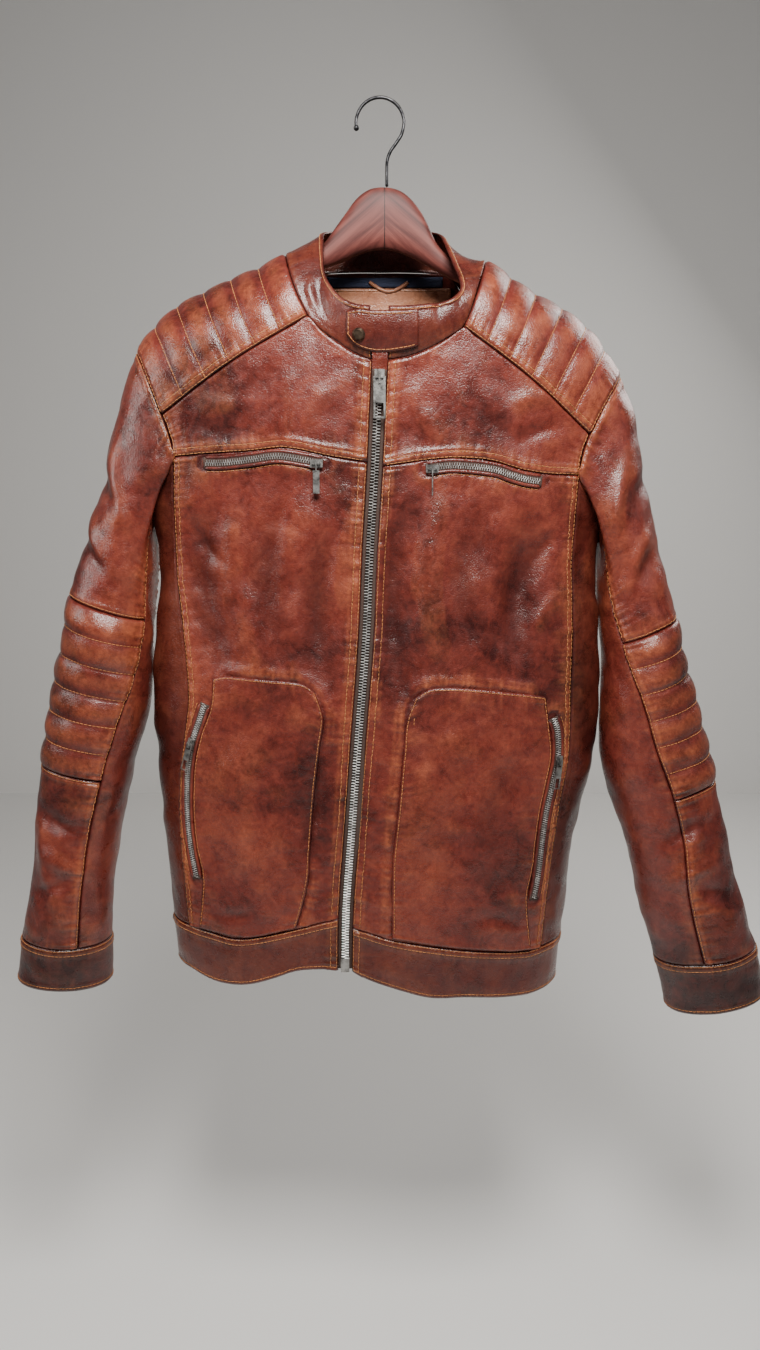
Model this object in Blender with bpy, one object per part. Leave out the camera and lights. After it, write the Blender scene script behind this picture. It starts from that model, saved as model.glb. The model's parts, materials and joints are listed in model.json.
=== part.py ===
"""Worn leather jacket hanging on a wooden hanger.

Metres, +Z up, the front faces -Y. The origin is the top of the inside of the hanger's hook, where
the hook rests on what carries it. Each cut-and-sewn piece is a thin wall on one shared body form.
"""
import math

import bmesh
import bpy
import numpy as np
from mathutils import Matrix, Vector

for old in list(bpy.data.objects):
    bpy.data.objects.remove(old, do_unlink=True)

# Leather wall, seams and raised work
WALL = 0.0018
SEAM_GAP = 0.00036
LAID_ON = 0.0006
CHANNEL_HEIGHT = 0.0026
RIB_HEIGHT = 0.0032
CHANNELS = 6
RIBS = 6

# How finely each stretch is divided
YOKE_COLUMNS = 2 * CHANNELS
YOKE_ROWS = 4
NECK_COLUMNS = 4
BACK_NECK_COLUMNS = 6
CHEST_ROWS = 4
LOWER_ROWS = 12
HEM_ROWS = 2
SIDE_COLUMNS = 8
CAP_RINGS = 5
RIB_RINGS = 2 * RIBS
FOREARM_RINGS = 4
CUFF_RINGS = 2
UNDER_START = 1

# Body form: half widths, depths and shoulder line, each as (height or reach, value)
SIDE_POWER = 3.0
SHOULDER_ROUND = 0.070
FRONT_DEPTH = [(-0.92, 0.080), (-0.80, 0.080), (-0.65, 0.074), (-0.50, 0.068), (-0.35, 0.064),
               (-0.25, 0.066), (-0.12, 0.056)]
BACK_DEPTH = [(-0.92, 0.066), (-0.80, 0.064), (-0.65, 0.060), (-0.50, 0.056), (-0.35, 0.054),
              (-0.25, 0.052), (-0.12, 0.044)]
BACK_NECK_HEIGHT = -0.152
ZIP_LINE = [(0.000, -0.254), (-0.003, -0.310), (-0.005, -0.354), (-0.010, -0.435),
            (-0.014, -0.523), (-0.022, -0.625), (-0.029, -0.720), (-0.036, -0.820),
            (-0.037, -0.880)]
ZIP_SLOT = 0.0072

# Outlines of each half as (reach from the middle, height). The halves hang a little differently.
LEFT = {
    "sign": -1,
    "ridge": [(0.000, -0.108), (0.050, -0.124), (0.094, -0.145), (0.121, -0.158),
              (0.150, -0.170), (0.181, -0.184), (0.208, -0.198), (0.231, -0.219),
              (0.246, -0.238), (0.262, -0.262)],
    "width": [(-0.92, 0.226), (-0.86, 0.231), (-0.77, 0.236), (-0.71, 0.240), (-0.665, 0.243),
              (-0.60, 0.2445), (-0.54, 0.240), (-0.47, 0.2355), (-0.42, 0.2350), (-0.36, 0.256),
              (-0.28, 0.270), (-0.12, 0.278)],
    "neck": [(0.0945, -0.1452), (0.084, -0.180), (0.069, -0.213), (0.058, -0.225),
             (0.040, -0.238), (0.022, -0.249)],
    "armhole": [(0.246, -0.238), (0.235, -0.256), (0.225, -0.280), (0.216, -0.303),
                (0.208, -0.327), (0.206, -0.344)],
    "chest_seam": [(0.206, -0.344), (0.180, -0.342), (0.126, -0.339), (0.097, -0.336),
                   (0.074, -0.339), (0.051, -0.344)],
    "side_seam": [(0.206, -0.344), (0.208, -0.382), (0.209, -0.419), (0.208, -0.475),
                  (0.202, -0.530), (0.199, -0.590), (0.206, -0.640), (0.213, -0.700),
                  (0.213, -0.760), (0.208, -0.842)],
    "hem_seam": [(0.208, -0.842), (0.179, -0.844), (0.147, -0.846), (0.088, -0.831)],
    "hem_edge": [(0.208, -0.895), (0.176, -0.901), (0.144, -0.899), (0.114, -0.889),
                 (0.089, -0.879), (0.061, -0.876)],
    "zip_end": (-0.818, -0.877),
    "underarm": -0.408,
    "outer": [(0.246, -0.238), (0.266, -0.289), (0.279, -0.326), (0.290, -0.373),
              (0.302, -0.411), (0.325, -0.484), (0.334, -0.531), (0.349, -0.587),
              (0.359, -0.640), (0.367, -0.683), (0.375, -0.732), (0.381, -0.776),
              (0.388, -0.822), (0.396, -0.857), (0.403, -0.908)],
    "inner": [(0.2385, -0.408), (0.2380, -0.430), (0.2385, -0.465), (0.243, -0.530),
              (0.248, -0.590), (0.2555, -0.633), (0.266, -0.667), (0.273, -0.701),
              (0.283, -0.733), (0.291, -0.777), (0.298, -0.838), (0.300, -0.910)],
    "ring_drop": [(-0.92, 0.003), (-0.857, 0.006), (-0.662, 0.018), (-0.483, 0.028)],
    "seam_turn": [(-0.92, 118), (-0.80, 118), (-0.72, 120), (-0.66, 122), (-0.59, 128),
                  (-0.54, 142), (-0.49, 155), (-0.40, 150)],
    "elbow": (-0.483, -0.662),
    "cuff": (-0.857, -0.908),
    "pocket_top": [(0.171, -0.566), (0.160, -0.563), (0.113, -0.566), (0.081, -0.569),
                   (0.066, -0.578)],
    "pocket_side": [(0.066, -0.578), (0.0575, -0.597), (0.061, -0.634), (0.067, -0.680),
                    (0.072, -0.738), (0.075, -0.780), (0.088, -0.829)],
    "pocket_zip": [(0.180, -0.593), (0.188, -0.615), (0.196, -0.638), (0.201, -0.666),
                   (0.203, -0.696), (0.203, -0.727), (0.200, -0.755), (0.195, -0.785)],
    "chest_zip": [(0.174, -0.350), (0.154, -0.350), (0.126, -0.347), (0.104, -0.344),
                  (0.089, -0.345), (0.066, -0.349), (0.056, -0.351)],
    "chest_pull_turned": False,
}
RIGHT = {
    "sign": 1,
    "ridge": [(0.000, -0.108), (0.050, -0.125), (0.105, -0.151), (0.128, -0.167),
              (0.154, -0.182), (0.184, -0.198), (0.211, -0.218), (0.230, -0.241),
              (0.244, -0.262), (0.260, -0.288)],
    "width": [(-0.94, 0.198), (-0.88, 0.203), (-0.825, 0.208), (-0.76, 0.214), (-0.70, 0.224),
              (-0.66, 0.2345), (-0.60, 0.2355), (-0.54, 0.2335), (-0.48, 0.2300), (-0.43, 0.2285),
              (-0.37, 0.250), (-0.29, 0.266), (-0.12, 0.274)],
    "neck": [(0.1052, -0.1512), (0.093, -0.190), (0.080, -0.223), (0.066, -0.233),
             (0.048, -0.243), (0.026, -0.251)],
    "armhole": [(0.244, -0.262), (0.229, -0.283), (0.218, -0.302), (0.208, -0.322),
                (0.201, -0.344), (0.199, -0.362)],
    "chest_seam": [(0.199, -0.362), (0.167, -0.361), (0.144, -0.358), (0.129, -0.354),
                   (0.106, -0.348), (0.075, -0.346), (0.045, -0.348)],
    "side_seam": [(0.199, -0.362), (0.198, -0.400), (0.196, -0.446), (0.199, -0.527),
                  (0.198, -0.589), (0.199, -0.640), (0.191, -0.700), (0.182, -0.780),
                  (0.175, -0.864)],
    "hem_seam": [(0.175, -0.864), (0.163, -0.865), (0.114, -0.859), (0.066, -0.852),
                 (0.011, -0.842)],
    "hem_edge": [(0.175, -0.918), (0.165, -0.918), (0.127, -0.914), (0.091, -0.910),
                 (0.054, -0.909), (0.018, -0.899), (-0.012, -0.888)],
    "zip_end": (-0.828, -0.878),
    "underarm": -0.424,
    "outer": [(0.244, -0.262), (0.263, -0.308), (0.273, -0.350), (0.283, -0.394),
              (0.300, -0.467), (0.310, -0.506), (0.320, -0.540), (0.338, -0.605),
              (0.356, -0.664), (0.362, -0.687), (0.376, -0.732), (0.390, -0.790),
              (0.404, -0.830), (0.417, -0.868), (0.428, -0.926)],
    "inner": [(0.2325, -0.424), (0.2320, -0.450), (0.2335, -0.490), (0.237, -0.550),
              (0.239, -0.610), (0.240, -0.660), (0.252, -0.705), (0.262, -0.733),
              (0.275, -0.776), (0.288, -0.828), (0.305, -0.882), (0.321, -0.944)],
    "ring_drop": [(-0.94, 0.018), (-0.868, 0.018), (-0.682, 0.024), (-0.507, 0.030)],
    "seam_turn": [(-0.94, 104), (-0.87, 103), (-0.78, 99), (-0.69, 90), (-0.62, 98),
                  (-0.56, 112), (-0.52, 127), (-0.42, 146)],
    "elbow": (-0.507, -0.682),
    "cuff": (-0.868, -0.926),
    "pocket_top": [(0.170, -0.585), (0.153, -0.582), (0.085, -0.574), (0.050, -0.575),
                   (0.036, -0.583)],
    "pocket_side": [(0.036, -0.583), (0.028, -0.596), (0.026, -0.617), (0.022, -0.660),
                    (0.018, -0.707), (0.013, -0.756), (0.0125, -0.838)],
    "pocket_zip": [(0.179, -0.608), (0.184, -0.624), (0.185, -0.652), (0.180, -0.679),
                   (0.174, -0.712), (0.170, -0.750), (0.167, -0.782), (0.163, -0.806)],
    "chest_zip": [(0.160, -0.368), (0.144, -0.366), (0.129, -0.362), (0.114, -0.357),
                  (0.091, -0.354), (0.068, -0.353), (0.045, -0.356)],
    "chest_pull_turned": True,
}

# Sleeve depth front to back and how far it hangs forward, by height
SLEEVE_HALF_DEPTH = [(-0.93, 0.036), (-0.86, 0.040), (-0.75, 0.045), (-0.65, 0.051),
                     (-0.55, 0.053), (-0.45, 0.051), (-0.38, 0.048)]
SLEEVE_FORWARD = [(-0.93, -0.028), (-0.75, -0.019), (-0.60, -0.010), (-0.45, -0.004),
                  (-0.25, 0.000)]

# Broad hanging folds: (start, end, half width, height), reach and height in the front view
FRONT_FOLDS = [
    ((-0.160, -0.400), (-0.150, -0.570), 0.020, -0.0045),
    ((-0.110, -0.385), (-0.104, -0.580), 0.018, 0.0040),
    ((-0.045, -0.390), (-0.040, -0.600), 0.017, -0.0045),
    ((-0.040, -0.640), (-0.052, -0.800), 0.012, 0.0030),
    ((0.028, -0.390), (0.030, -0.560), 0.017, -0.0045),
    ((0.085, -0.400), (0.095, -0.560), 0.020, 0.0040),
    ((0.150, -0.400), (0.140, -0.560), 0.018, -0.0040),
    ((-0.150, -0.620), (-0.130, -0.800), 0.020, 0.0030),
    ((0.120, -0.620), (0.100, -0.820), 0.020, 0.0030),
    ((0.060, -0.640), (0.050, -0.820), 0.017, -0.0030),
    ((-0.060, -0.270), (-0.130, -0.325), 0.014, 0.0030),
    ((0.070, -0.275), (0.135, -0.330), 0.014, 0.0030),
]
BACK_FOLDS = [
    ((-0.130, -0.360), (-0.150, -0.780), 0.024, 0.0060),
    ((-0.060, -0.300), (-0.070, -0.760), 0.026, -0.0060),
    ((0.010, -0.330), (0.000, -0.800), 0.024, 0.0060),
    ((0.080, -0.300), (0.085, -0.760), 0.026, -0.0060),
    ((0.140, -0.360), (0.130, -0.780), 0.022, 0.0050),
]
# Sleeve folds: (ring share along, turn in degrees at its middle, turn per share, half width, height)
SLEEVE_FOLDS = [(0.16, 60, 500, 0.030, -0.0040), (0.27, 70, 420, 0.030, 0.0035),
                (0.80, 60, -420, 0.028, -0.0035), (0.88, 90, 420, 0.028, 0.0030),
                (0.22, 250, -400, 0.034, -0.0040), (0.78, 280, 400, 0.030, -0.0035)]

# Collar band: its top edge, from the left front round the back to the right front
COLLAR_ROWS = 3
COLLAR_TOP = [(-0.009, -0.077, -0.206), (-0.031, -0.072, -0.201), (-0.046, -0.061, -0.186),
              (-0.053, -0.048, -0.170), (-0.055, -0.030, -0.148), (-0.056, -0.012, -0.129),
              (-0.054, 0.008, -0.120), (-0.038, 0.028, -0.114), (0.002, 0.038, -0.112),
              (0.040, 0.029, -0.114), (0.058, 0.010, -0.120), (0.063, -0.010, -0.131),
              (0.068, -0.030, -0.150), (0.074, -0.048, -0.172), (0.077, -0.059, -0.186),
              (0.066, -0.069, -0.199), (0.034, -0.075, -0.205), (0.008, -0.077, -0.206)]
TAB_REACH = (-0.0315, 0.036)
TAB_RISE = (0.14, 0.90)
SNAP_PLACE = (-0.0197, -0.2315)
SNAP_RADIUS = 0.0063

# Zips
CHAIN_HALF = 0.0034
TAPE_HALF = 0.0125
SMALL_CHAIN_HALF = 0.0021
SMALL_TAPE_HALF = 0.0042

# Sliders (width, length, thickness) and pull tabs (width, length, thickness)
MAIN_SLIDER = (0.0095, 0.0150, 0.0022)
MAIN_PULL = (0.0118, 0.0385, 0.0014)
POCKET_SLIDER = (0.0078, 0.0105, 0.0016)
POCKET_PULL = (0.0068, 0.0300, 0.0012)

# Hanger
WIRE_RADIUS = 0.0016
HOOK_RADIUS = 0.0236
HANGER_HALF_THICKNESS = 0.0085
HANGER_END = 0.226
HANGER_SIDES = 10
WIRE_SIDES = 8
STEM_X = 0.0068
HANGER_TOP = {-1: [(0.000, -0.0805), (0.010, -0.0825), (0.024, -0.092), (0.035, -0.106),
                   (0.045, -0.119), (0.054, -0.1310), (0.075, -0.1470), (0.094, -0.1570)],
              1: [(0.000, -0.0805), (0.012, -0.0815), (0.022, -0.085), (0.034, -0.095),
                  (0.045, -0.110), (0.056, -0.1320), (0.080, -0.1510), (0.105, -0.1640)]}
HANGER_UNDER = [(-0.226, -0.226), (-0.150, -0.196), (-0.051, -0.155), (0.004, -0.139),
                (0.070, -0.166), (0.150, -0.208), (0.226, -0.256)]
HANGER_UNDER_RIDGE = WALL + 0.0034

COLOURS = {
    "leather": ((0.150, 0.046, 0.028, 1), 0.50, 0.0),
    "leather_tan": ((0.300, 0.140, 0.060, 1), 0.60, 0.0),
    "tape_navy": ((0.020, 0.026, 0.060, 1), 0.85, 0.0),
    "gunmetal": ((0.240, 0.235, 0.225, 1), 0.35, 1.0),
    "snap_bronze": ((0.110, 0.080, 0.060, 1), 0.40, 1.0),
    "hanger_wood": ((0.260, 0.085, 0.035, 1), 0.38, 0.0),
    "hook_wire": ((0.020, 0.020, 0.022, 1), 0.35, 1.0),
}


def finish_of(name):
    """The shared Principled material of one finish."""
    found = bpy.data.materials.get(name)
    if found:
        return found
    material = bpy.data.materials.new(name)
    material.use_nodes = True
    shader = material.node_tree.nodes["Principled BSDF"]
    colour, roughness, metallic = COLOURS[name]
    shader.inputs["Base Color"].default_value = colour
    shader.inputs["Roughness"].default_value = roughness
    shader.inputs["Metallic"].default_value = metallic
    material.diffuse_color = colour
    return material


def smooth(table, at):
    """Value of a (place, value) table at any place, on one smooth curve."""
    rows = sorted(table)
    places = np.array([row[0] for row in rows])
    values = np.array([row[1] for row in rows])
    slopes = np.gradient(values, places)
    at = np.clip(np.asarray(at, dtype=float), places[0], places[-1])
    low = np.clip(np.searchsorted(places, at) - 1, 0, len(places) - 2)
    span = places[low + 1] - places[low]
    t = (at - places[low]) / span
    return ((2 * t**3 - 3 * t**2 + 1) * values[low] + (t**3 - 2 * t**2 + t) * span * slopes[low]
            + (3 * t**2 - 2 * t**3) * values[low + 1] + (t**3 - t**2) * span * slopes[low + 1])


def run(points, count, first=0, last=None, eased=False):
    """Points at even spacing on the smooth curve through some points, between two of them."""
    control = np.array(points, dtype=float)
    last = len(control) - 1 if last is None else last
    dense = []
    for k in range(first, last):
        before = control[k - 1] if k > 0 else 2 * control[k] - control[k + 1]
        after = control[k + 2] if k + 2 < len(control) else 2 * control[k + 1] - control[k]
        for t in np.arange(24) / 24:
            dense.append(0.5 * (2 * control[k] + (control[k + 1] - before) * t
                                + (2 * before - 5 * control[k] + 4 * control[k + 1] - after) * t**2
                                + (3 * control[k] - before - 3 * control[k + 1] + after) * t**3))
    dense.append(control[last])
    dense = np.array(dense)
    travel = np.concatenate([[0], np.cumsum(np.linalg.norm(np.diff(dense, axis=0), axis=1))])
    share = np.linspace(0, 1, count + 1)
    if eased:
        share = 1 - np.cos(share * math.pi / 2)
    return np.array([[np.interp(s * travel[-1], travel, dense[:, c]) for c in range(dense.shape[1])]
                     for s in share])


def patch(top, bottom, left, right, down=None):
    """Grid of points between four edges that share their corners."""
    across = np.linspace(0, 1, len(top))[:, None, None]
    down = np.linspace(0, 1, len(left)) if down is None else down
    down = down[None, :, None]
    edges = ((1 - down) * top[:, None] + down * bottom[:, None]
             + (1 - across) * left[None] + across * right[None])
    corners = ((1 - across) * (1 - down) * top[0] + across * (1 - down) * top[-1]
               + (1 - across) * down * bottom[0] + across * down * bottom[-1])
    return edges - corners


def unit(vectors):
    """Vectors brought to length one."""
    return vectors / np.maximum(np.linalg.norm(vectors, axis=-1, keepdims=True), 1e-12)


def fullness(x, z):
    """Square of how full the body is at a place: nothing at the shoulder line and the sides."""
    reach = np.abs(x)
    width = np.where(x < 0, smooth(LEFT["width"], z), smooth(RIGHT["width"], z))
    ridge = np.where(x < 0, smooth(LEFT["ridge"], reach), smooth(RIGHT["ridge"], reach))
    side = 1 - (reach / width) ** SIDE_POWER
    drop = np.minimum((ridge - z) / SHOULDER_ROUND, 1)
    return side * (1 - (1 - drop) ** 2)


def depth_at(z, sheet):
    """Full depth of the front (-1) or the back (+1) at a height."""
    return smooth(FRONT_DEPTH if sheet < 0 else BACK_DEPTH, z)


def body_normal(points, sheet):
    """Outward direction of the body form, from its level surfaces."""
    def level(x, y, z):
        return y**2 - depth_at(z, sheet) ** 2 * fullness(x, z)
    x, y, z = points[..., 0], points[..., 1], points[..., 2]
    step = 0.0006
    return unit(np.stack([level(x + step, y, z) - level(x - step, y, z),
                          level(x, y + step, z) - level(x, y - step, z),
                          level(x, y, z + step) - level(x, y, z - step)], axis=-1))


def fold_height(points, sheet):
    """Height of the broad folds at a place on the front or the back."""
    total = np.zeros(points.shape[:-1])
    for start, end, half_width, height in (FRONT_FOLDS if sheet < 0 else BACK_FOLDS):
        start = np.array(start)
        run_of_fold = np.array(end) - start
        length = np.linalg.norm(run_of_fold)
        offset = points[..., [0, 2]] - start
        along = (offset @ run_of_fold) / length**2
        across = (offset[..., 0] * run_of_fold[1] - offset[..., 1] * run_of_fold[0]) / length
        taper = np.sin(np.clip(along, 0, 1) * math.pi) ** 2
        total += height * taper * np.exp(-((across / half_width) ** 2))
    return total


def on_body(flat, sheet):
    """Front-view points (x, z) placed on the body form, with their outward directions."""
    x, z = flat[..., 0], flat[..., 1]
    y = sheet * depth_at(z, sheet) * np.sqrt(np.maximum(fullness(x, z), 0))
    points = np.stack([x, y, z], axis=-1)
    normals = body_normal(points, sheet)
    return points + normals * fold_height(points, sheet)[..., None], normals


def half_view(half, points):
    """Outline points of one half as front-view points."""
    points = np.array(points, dtype=float)
    points[:, 0] *= half["sign"]
    return points


def zip_edge(half, top, bottom, count):
    """Front edge of one half beside the main zip, between two heights."""
    heights = np.linspace(top, bottom, count + 1)
    middle = smooth([(z, x) for x, z in ZIP_LINE], heights)
    return np.stack([middle + half["sign"] * ZIP_SLOT, heights], axis=-1)


def grid_mesh(name, outer, inner, wrap=False):
    """One closed wall between an outer and an inner grid of points."""
    across, down = outer.shape[:2]
    bm = bmesh.new()
    outside = [[bm.verts.new(outer[i, j]) for j in range(down)] for i in range(across)]
    inside = [[bm.verts.new(inner[i, j]) for j in range(down)] for i in range(across)]
    spans = across if wrap else across - 1

    def seam_faces(first, second, second_in, first_in):
        """Edge of the wall, split along the same diagonal as its neighbour across the seam."""
        lead = Vector((1.0, 0.37, 1.1))
        if first.co.dot(lead) > second.co.dot(lead):
            bm.faces.new((first, second, second_in))
            bm.faces.new((first, second_in, first_in))
        else:
            bm.faces.new((first, second, first_in))
            bm.faces.new((second, second_in, first_in))
    for i in range(spans):
        k = (i + 1) % across
        for j in range(down - 1):
            bm.faces.new((outside[i][j], outside[k][j], outside[k][j + 1], outside[i][j + 1]))
            bm.faces.new((inside[i][j], inside[i][j + 1], inside[k][j + 1], inside[k][j]))
        seam_faces(outside[k][0], outside[i][0], inside[i][0], inside[k][0])
        seam_faces(outside[i][-1], outside[k][-1], inside[k][-1], inside[i][-1])
    if not wrap:
        for j in range(down - 1):
            seam_faces(outside[0][j], outside[0][j + 1], inside[0][j + 1], inside[0][j])
            seam_faces(outside[-1][j + 1], outside[-1][j], inside[-1][j], inside[-1][j + 1])
    return add_mesh(name, bm)


def add_mesh(name, bm):
    """Object made from a bmesh, turned so that its faces point out."""
    if bm.calc_volume(signed=True) < 0:
        bmesh.ops.reverse_faces(bm, faces=bm.faces)
    mesh = bpy.data.meshes.new(name)
    bm.to_mesh(mesh)
    bm.free()
    obj = bpy.data.objects.new(name, mesh)
    bpy.context.scene.collection.objects.link(obj)
    return obj


def inset(outer, inner, wrap, gap):
    """Edges of a wall drawn in by half a seam gap, along the wall."""
    moves = np.zeros_like(outer)

    def draw(edge, inward):
        along = unit(np.gradient(edge, axis=0))
        direction = inward - along * np.sum(inward * along, axis=-1, keepdims=True)
        return unit(direction) * gap / 2
    moves[:, 0] += draw(outer[:, 0], outer[:, 1] - outer[:, 0])
    moves[:, -1] += draw(outer[:, -1], outer[:, -2] - outer[:, -1])
    if not wrap:
        moves[0] += draw(outer[0], outer[1] - outer[0])
        moves[-1] += draw(outer[-1], outer[-2] - outer[-1])
    return outer + moves, inner + moves


MITRES = []


def wall_vectors(points, normals, thickness):
    """Inward thickness at each point: along the normal, or along the seam's mitre."""
    vectors = normals * thickness
    if not MITRES:
        return vectors
    places = np.array([m[0] for m in MITRES])
    for index in np.ndindex(points.shape[:-1]):
        apart = np.linalg.norm(places - points[index], axis=1)
        nearest = int(np.argmin(apart))
        if apart[nearest] < 2e-5:
            vectors[index] = MITRES[nearest][1]
    return vectors


def leather(name, points, normals, relief=None, wrap=False, finish="leather", thickness=WALL):
    """One sewn leather piece as a wall with its edges drawn in from the seams."""
    vectors = wall_vectors(points, normals, thickness)
    outer = points.copy()
    if relief is not None:
        outer = points + normals * relief[..., None]
    outer, inner = inset(outer, points - vectors, wrap, SEAM_GAP)
    obj = grid_mesh(name, outer, inner, wrap)
    obj.data.materials.append(finish_of(finish))
    return obj


def laid_on(name, points, normals, low, high, finish):
    """A piece laid on another: a plate between two heights over its points."""
    obj = grid_mesh(name, points + normals * high, points + normals * low)
    obj.data.materials.append(finish_of(finish))
    return obj


def body_half(half):
    """Point grids of one half's yoke, chest, lower front, hem and side panel."""
    sign = half["sign"]
    grids = {}
    eased = 1 - np.cos(np.linspace(0, 1, YOKE_ROWS + 1) * math.pi / 2)
    neck_top = half["neck"][0]
    tip = half["armhole"][0]
    reach = np.linspace(neck_top[0], tip[0], 30)
    ridge = run(half_view(half, np.stack([reach, smooth(half["ridge"], reach)], -1)), YOKE_COLUMNS)
    neck_side = run(half_view(half, half["neck"]), YOKE_ROWS, 0, 2, eased=True)
    armhole = half_view(half, half["armhole"])
    arm_yoke = run(armhole, YOKE_ROWS, 0, 3, eased=True)
    arm_chest = run(armhole, CHEST_ROWS, 3, 5)
    corner = neck_side[-1]
    yoke_seam = run([corner, (corner * 0.5 + arm_yoke[-1] * 0.5) + (0, 0.004), arm_yoke[-1]],
                    YOKE_COLUMNS)
    neck_side[0, 1] = ridge[0, 1]
    arm_yoke[0, 1] = ridge[-1, 1]
    front_yoke = patch(ridge, yoke_seam, neck_side, arm_yoke, eased)

    neck_back = neck_side.copy()
    neck_back[:, 0] = sign * np.linspace(abs(neck_side[0, 0]), 0.072, YOKE_ROWS + 1)
    neck_back[:, 1] = neck_side[0, 1] + eased * (BACK_NECK_HEIGHT - 0.004 - neck_side[0, 1])
    back_yoke_seam = run([neck_back[-1], (neck_back[-1] + arm_yoke[-1]) / 2 + (0, 0.002),
                          arm_yoke[-1]], YOKE_COLUMNS)
    back_yoke = patch(ridge, back_yoke_seam, neck_back, arm_yoke, eased)
    front_points, front_normals = on_body(front_yoke, -1)
    back_points, back_normals = on_body(back_yoke, 1)
    grids["yoke"] = (np.concatenate([front_points[:, ::-1], back_points[:, 1:]], axis=1),
                     np.concatenate([front_normals[:, ::-1], back_normals[:, 1:]], axis=1))

    front_neck = half_view(half, half["neck"])
    edge_top = zip_edge(half, ZIP_LINE[0][1], half["chest_seam"][-1][1] - 0.006, CHEST_ROWS)
    neck_run = run(list(front_neck) + [edge_top[0]], NECK_COLUMNS, 2)
    top = np.concatenate([yoke_seam[::-1], neck_run[1:]])
    columns = len(top) - 1
    chest_seam = run(list(half_view(half, half["chest_seam"])) + [edge_top[-1]], columns)
    grids["chest"] = on_body(patch(top, chest_seam, arm_chest, edge_top), -1)

    side_seam = run(half_view(half, half["side_seam"]), LOWER_ROWS)
    hem_top, hem_bottom = half["zip_end"]
    edge_low = zip_edge(half, edge_top[-1, 1], hem_top, LOWER_ROWS)
    hem_seam = run(list(half_view(half, half["hem_seam"])) + [edge_low[-1]], columns)
    grids["front"] = on_body(patch(chest_seam, hem_seam, side_seam, edge_low), -1)

    edge_hem = zip_edge(half, hem_top, hem_bottom, HEM_ROWS)
    hem_edge = run(list(half_view(half, half["hem_edge"])) + [edge_hem[-1]], columns)
    hem_side = run([side_seam[-1], hem_edge[0]], HEM_ROWS)
    grids["hem_front"] = on_body(patch(hem_seam, hem_edge, hem_side, edge_hem), -1)

    grids["side"] = around_side(half, side_seam, half["underarm"])
    grids["hem_side"] = around_side(half, hem_side, None)
    grids["arm_chest"] = arm_chest
    grids["back_yoke_seam"] = back_yoke_seam
    grids["side_seam"] = side_seam
    grids["hem_side_line"] = hem_side
    return grids


def around_side(half, seam, underarm):
    """Grid round the side from the front side seam to the same line on the back."""
    sign = half["sign"]
    rows = len(seam)
    even = np.linspace(0, 1, SIDE_COLUMNS // 2 + 1)
    gathered = np.array([0, 0.45, 0.64, 0.82, 1.0])
    points = np.zeros((SIDE_COLUMNS + 1, rows, 3))
    normals = np.zeros_like(points)
    for j, (x, z) in enumerate(seam):
        start = math.asin((abs(x) / float(smooth(half["width"], z))) ** (SIDE_POWER / 2))
        mix = min(1, j / 3) if underarm else 1
        share = gathered * (1 - mix) + even * mix
        share = np.concatenate([share, 2 - share[-2::-1]])
        for i, part in enumerate(share):
            turn = start + part * (math.pi / 2 - start)
            if part > 1:
                turn = math.pi / 2 + (part - 1) * (math.pi / 2 - start)
            lift = z
            if underarm:
                dip = (1 - j / (rows - 1)) ** 3 * (underarm - seam[0][1])
                lift = z + dip * math.sin(min(part, 2 - part) * math.pi / 2) ** 1.5
            sheet = -1 if turn <= math.pi / 2 else 1
            width = float(smooth(half["width"], lift))
            place_x = sign * width * math.sin(turn) ** (2 / SIDE_POWER)
            full = max(float(fullness(np.array(place_x), np.array(lift))), 0)
            if i in (0, SIDE_COLUMNS):
                place_x = x
                full = float(fullness(np.array(x), np.array(z)))
            point = np.array([place_x, sheet * float(depth_at(lift, sheet)) * math.sqrt(full), lift])
            normal = body_normal(point[None], sheet)[0]
            points[i, j] = point + normal * float(fold_height(point[None], sheet)[0])
            normals[i, j] = normal
    return points, normals


def back_grid(left, right):
    """Grids of the back panel and of its hem, from the left half to the right half."""
    neck_left = left["back_yoke_seam"][0]
    neck_right = right["back_yoke_seam"][0]
    neck = run([neck_left, (-0.04, BACK_NECK_HEIGHT - 0.001), (0, BACK_NECK_HEIGHT),
                (0.04, BACK_NECK_HEIGHT - 0.001), neck_right], BACK_NECK_COLUMNS)
    top = np.concatenate([left["back_yoke_seam"][::-1], neck[1:-1], right["back_yoke_seam"]])
    left_edge = np.concatenate([left["arm_chest"], left["side_seam"][1:]])
    right_edge = np.concatenate([right["arm_chest"], right["side_seam"][1:]])
    middle_low = (-0.010, (left_edge[-1][1] + right_edge[-1][1]) / 2 - 0.004)
    seam = run([left_edge[-1], middle_low, right_edge[-1]], len(top) - 1)
    down = np.linspace(0, 1, CHEST_ROWS + LOWER_ROWS + 1)
    panel = on_body(patch(top, seam, left_edge, right_edge, down), 1)
    edge = run([left["hem_side_line"][-1], (-0.008, middle_low[1] - 0.055),
                right["hem_side_line"][-1]], len(top) - 1)
    hem = on_body(patch(seam, edge, left["hem_side_line"], right["hem_side_line"]), 1)
    return panel, hem


def loft_normals(points, wrap, centre):
    """Outward directions of a lofted grid, away from the given centres."""
    if wrap:
        padded = np.concatenate([points[-1:], points, points[:1]])
        around = np.gradient(padded, axis=0)[1:-1]
    else:
        around = np.gradient(points, axis=0)
    down = np.gradient(points, axis=1)
    normals = unit(np.cross(around, down))
    outward = np.sum(normals * (points - centre), axis=-1)
    return -normals if np.mean(outward) < 0 else normals


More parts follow.
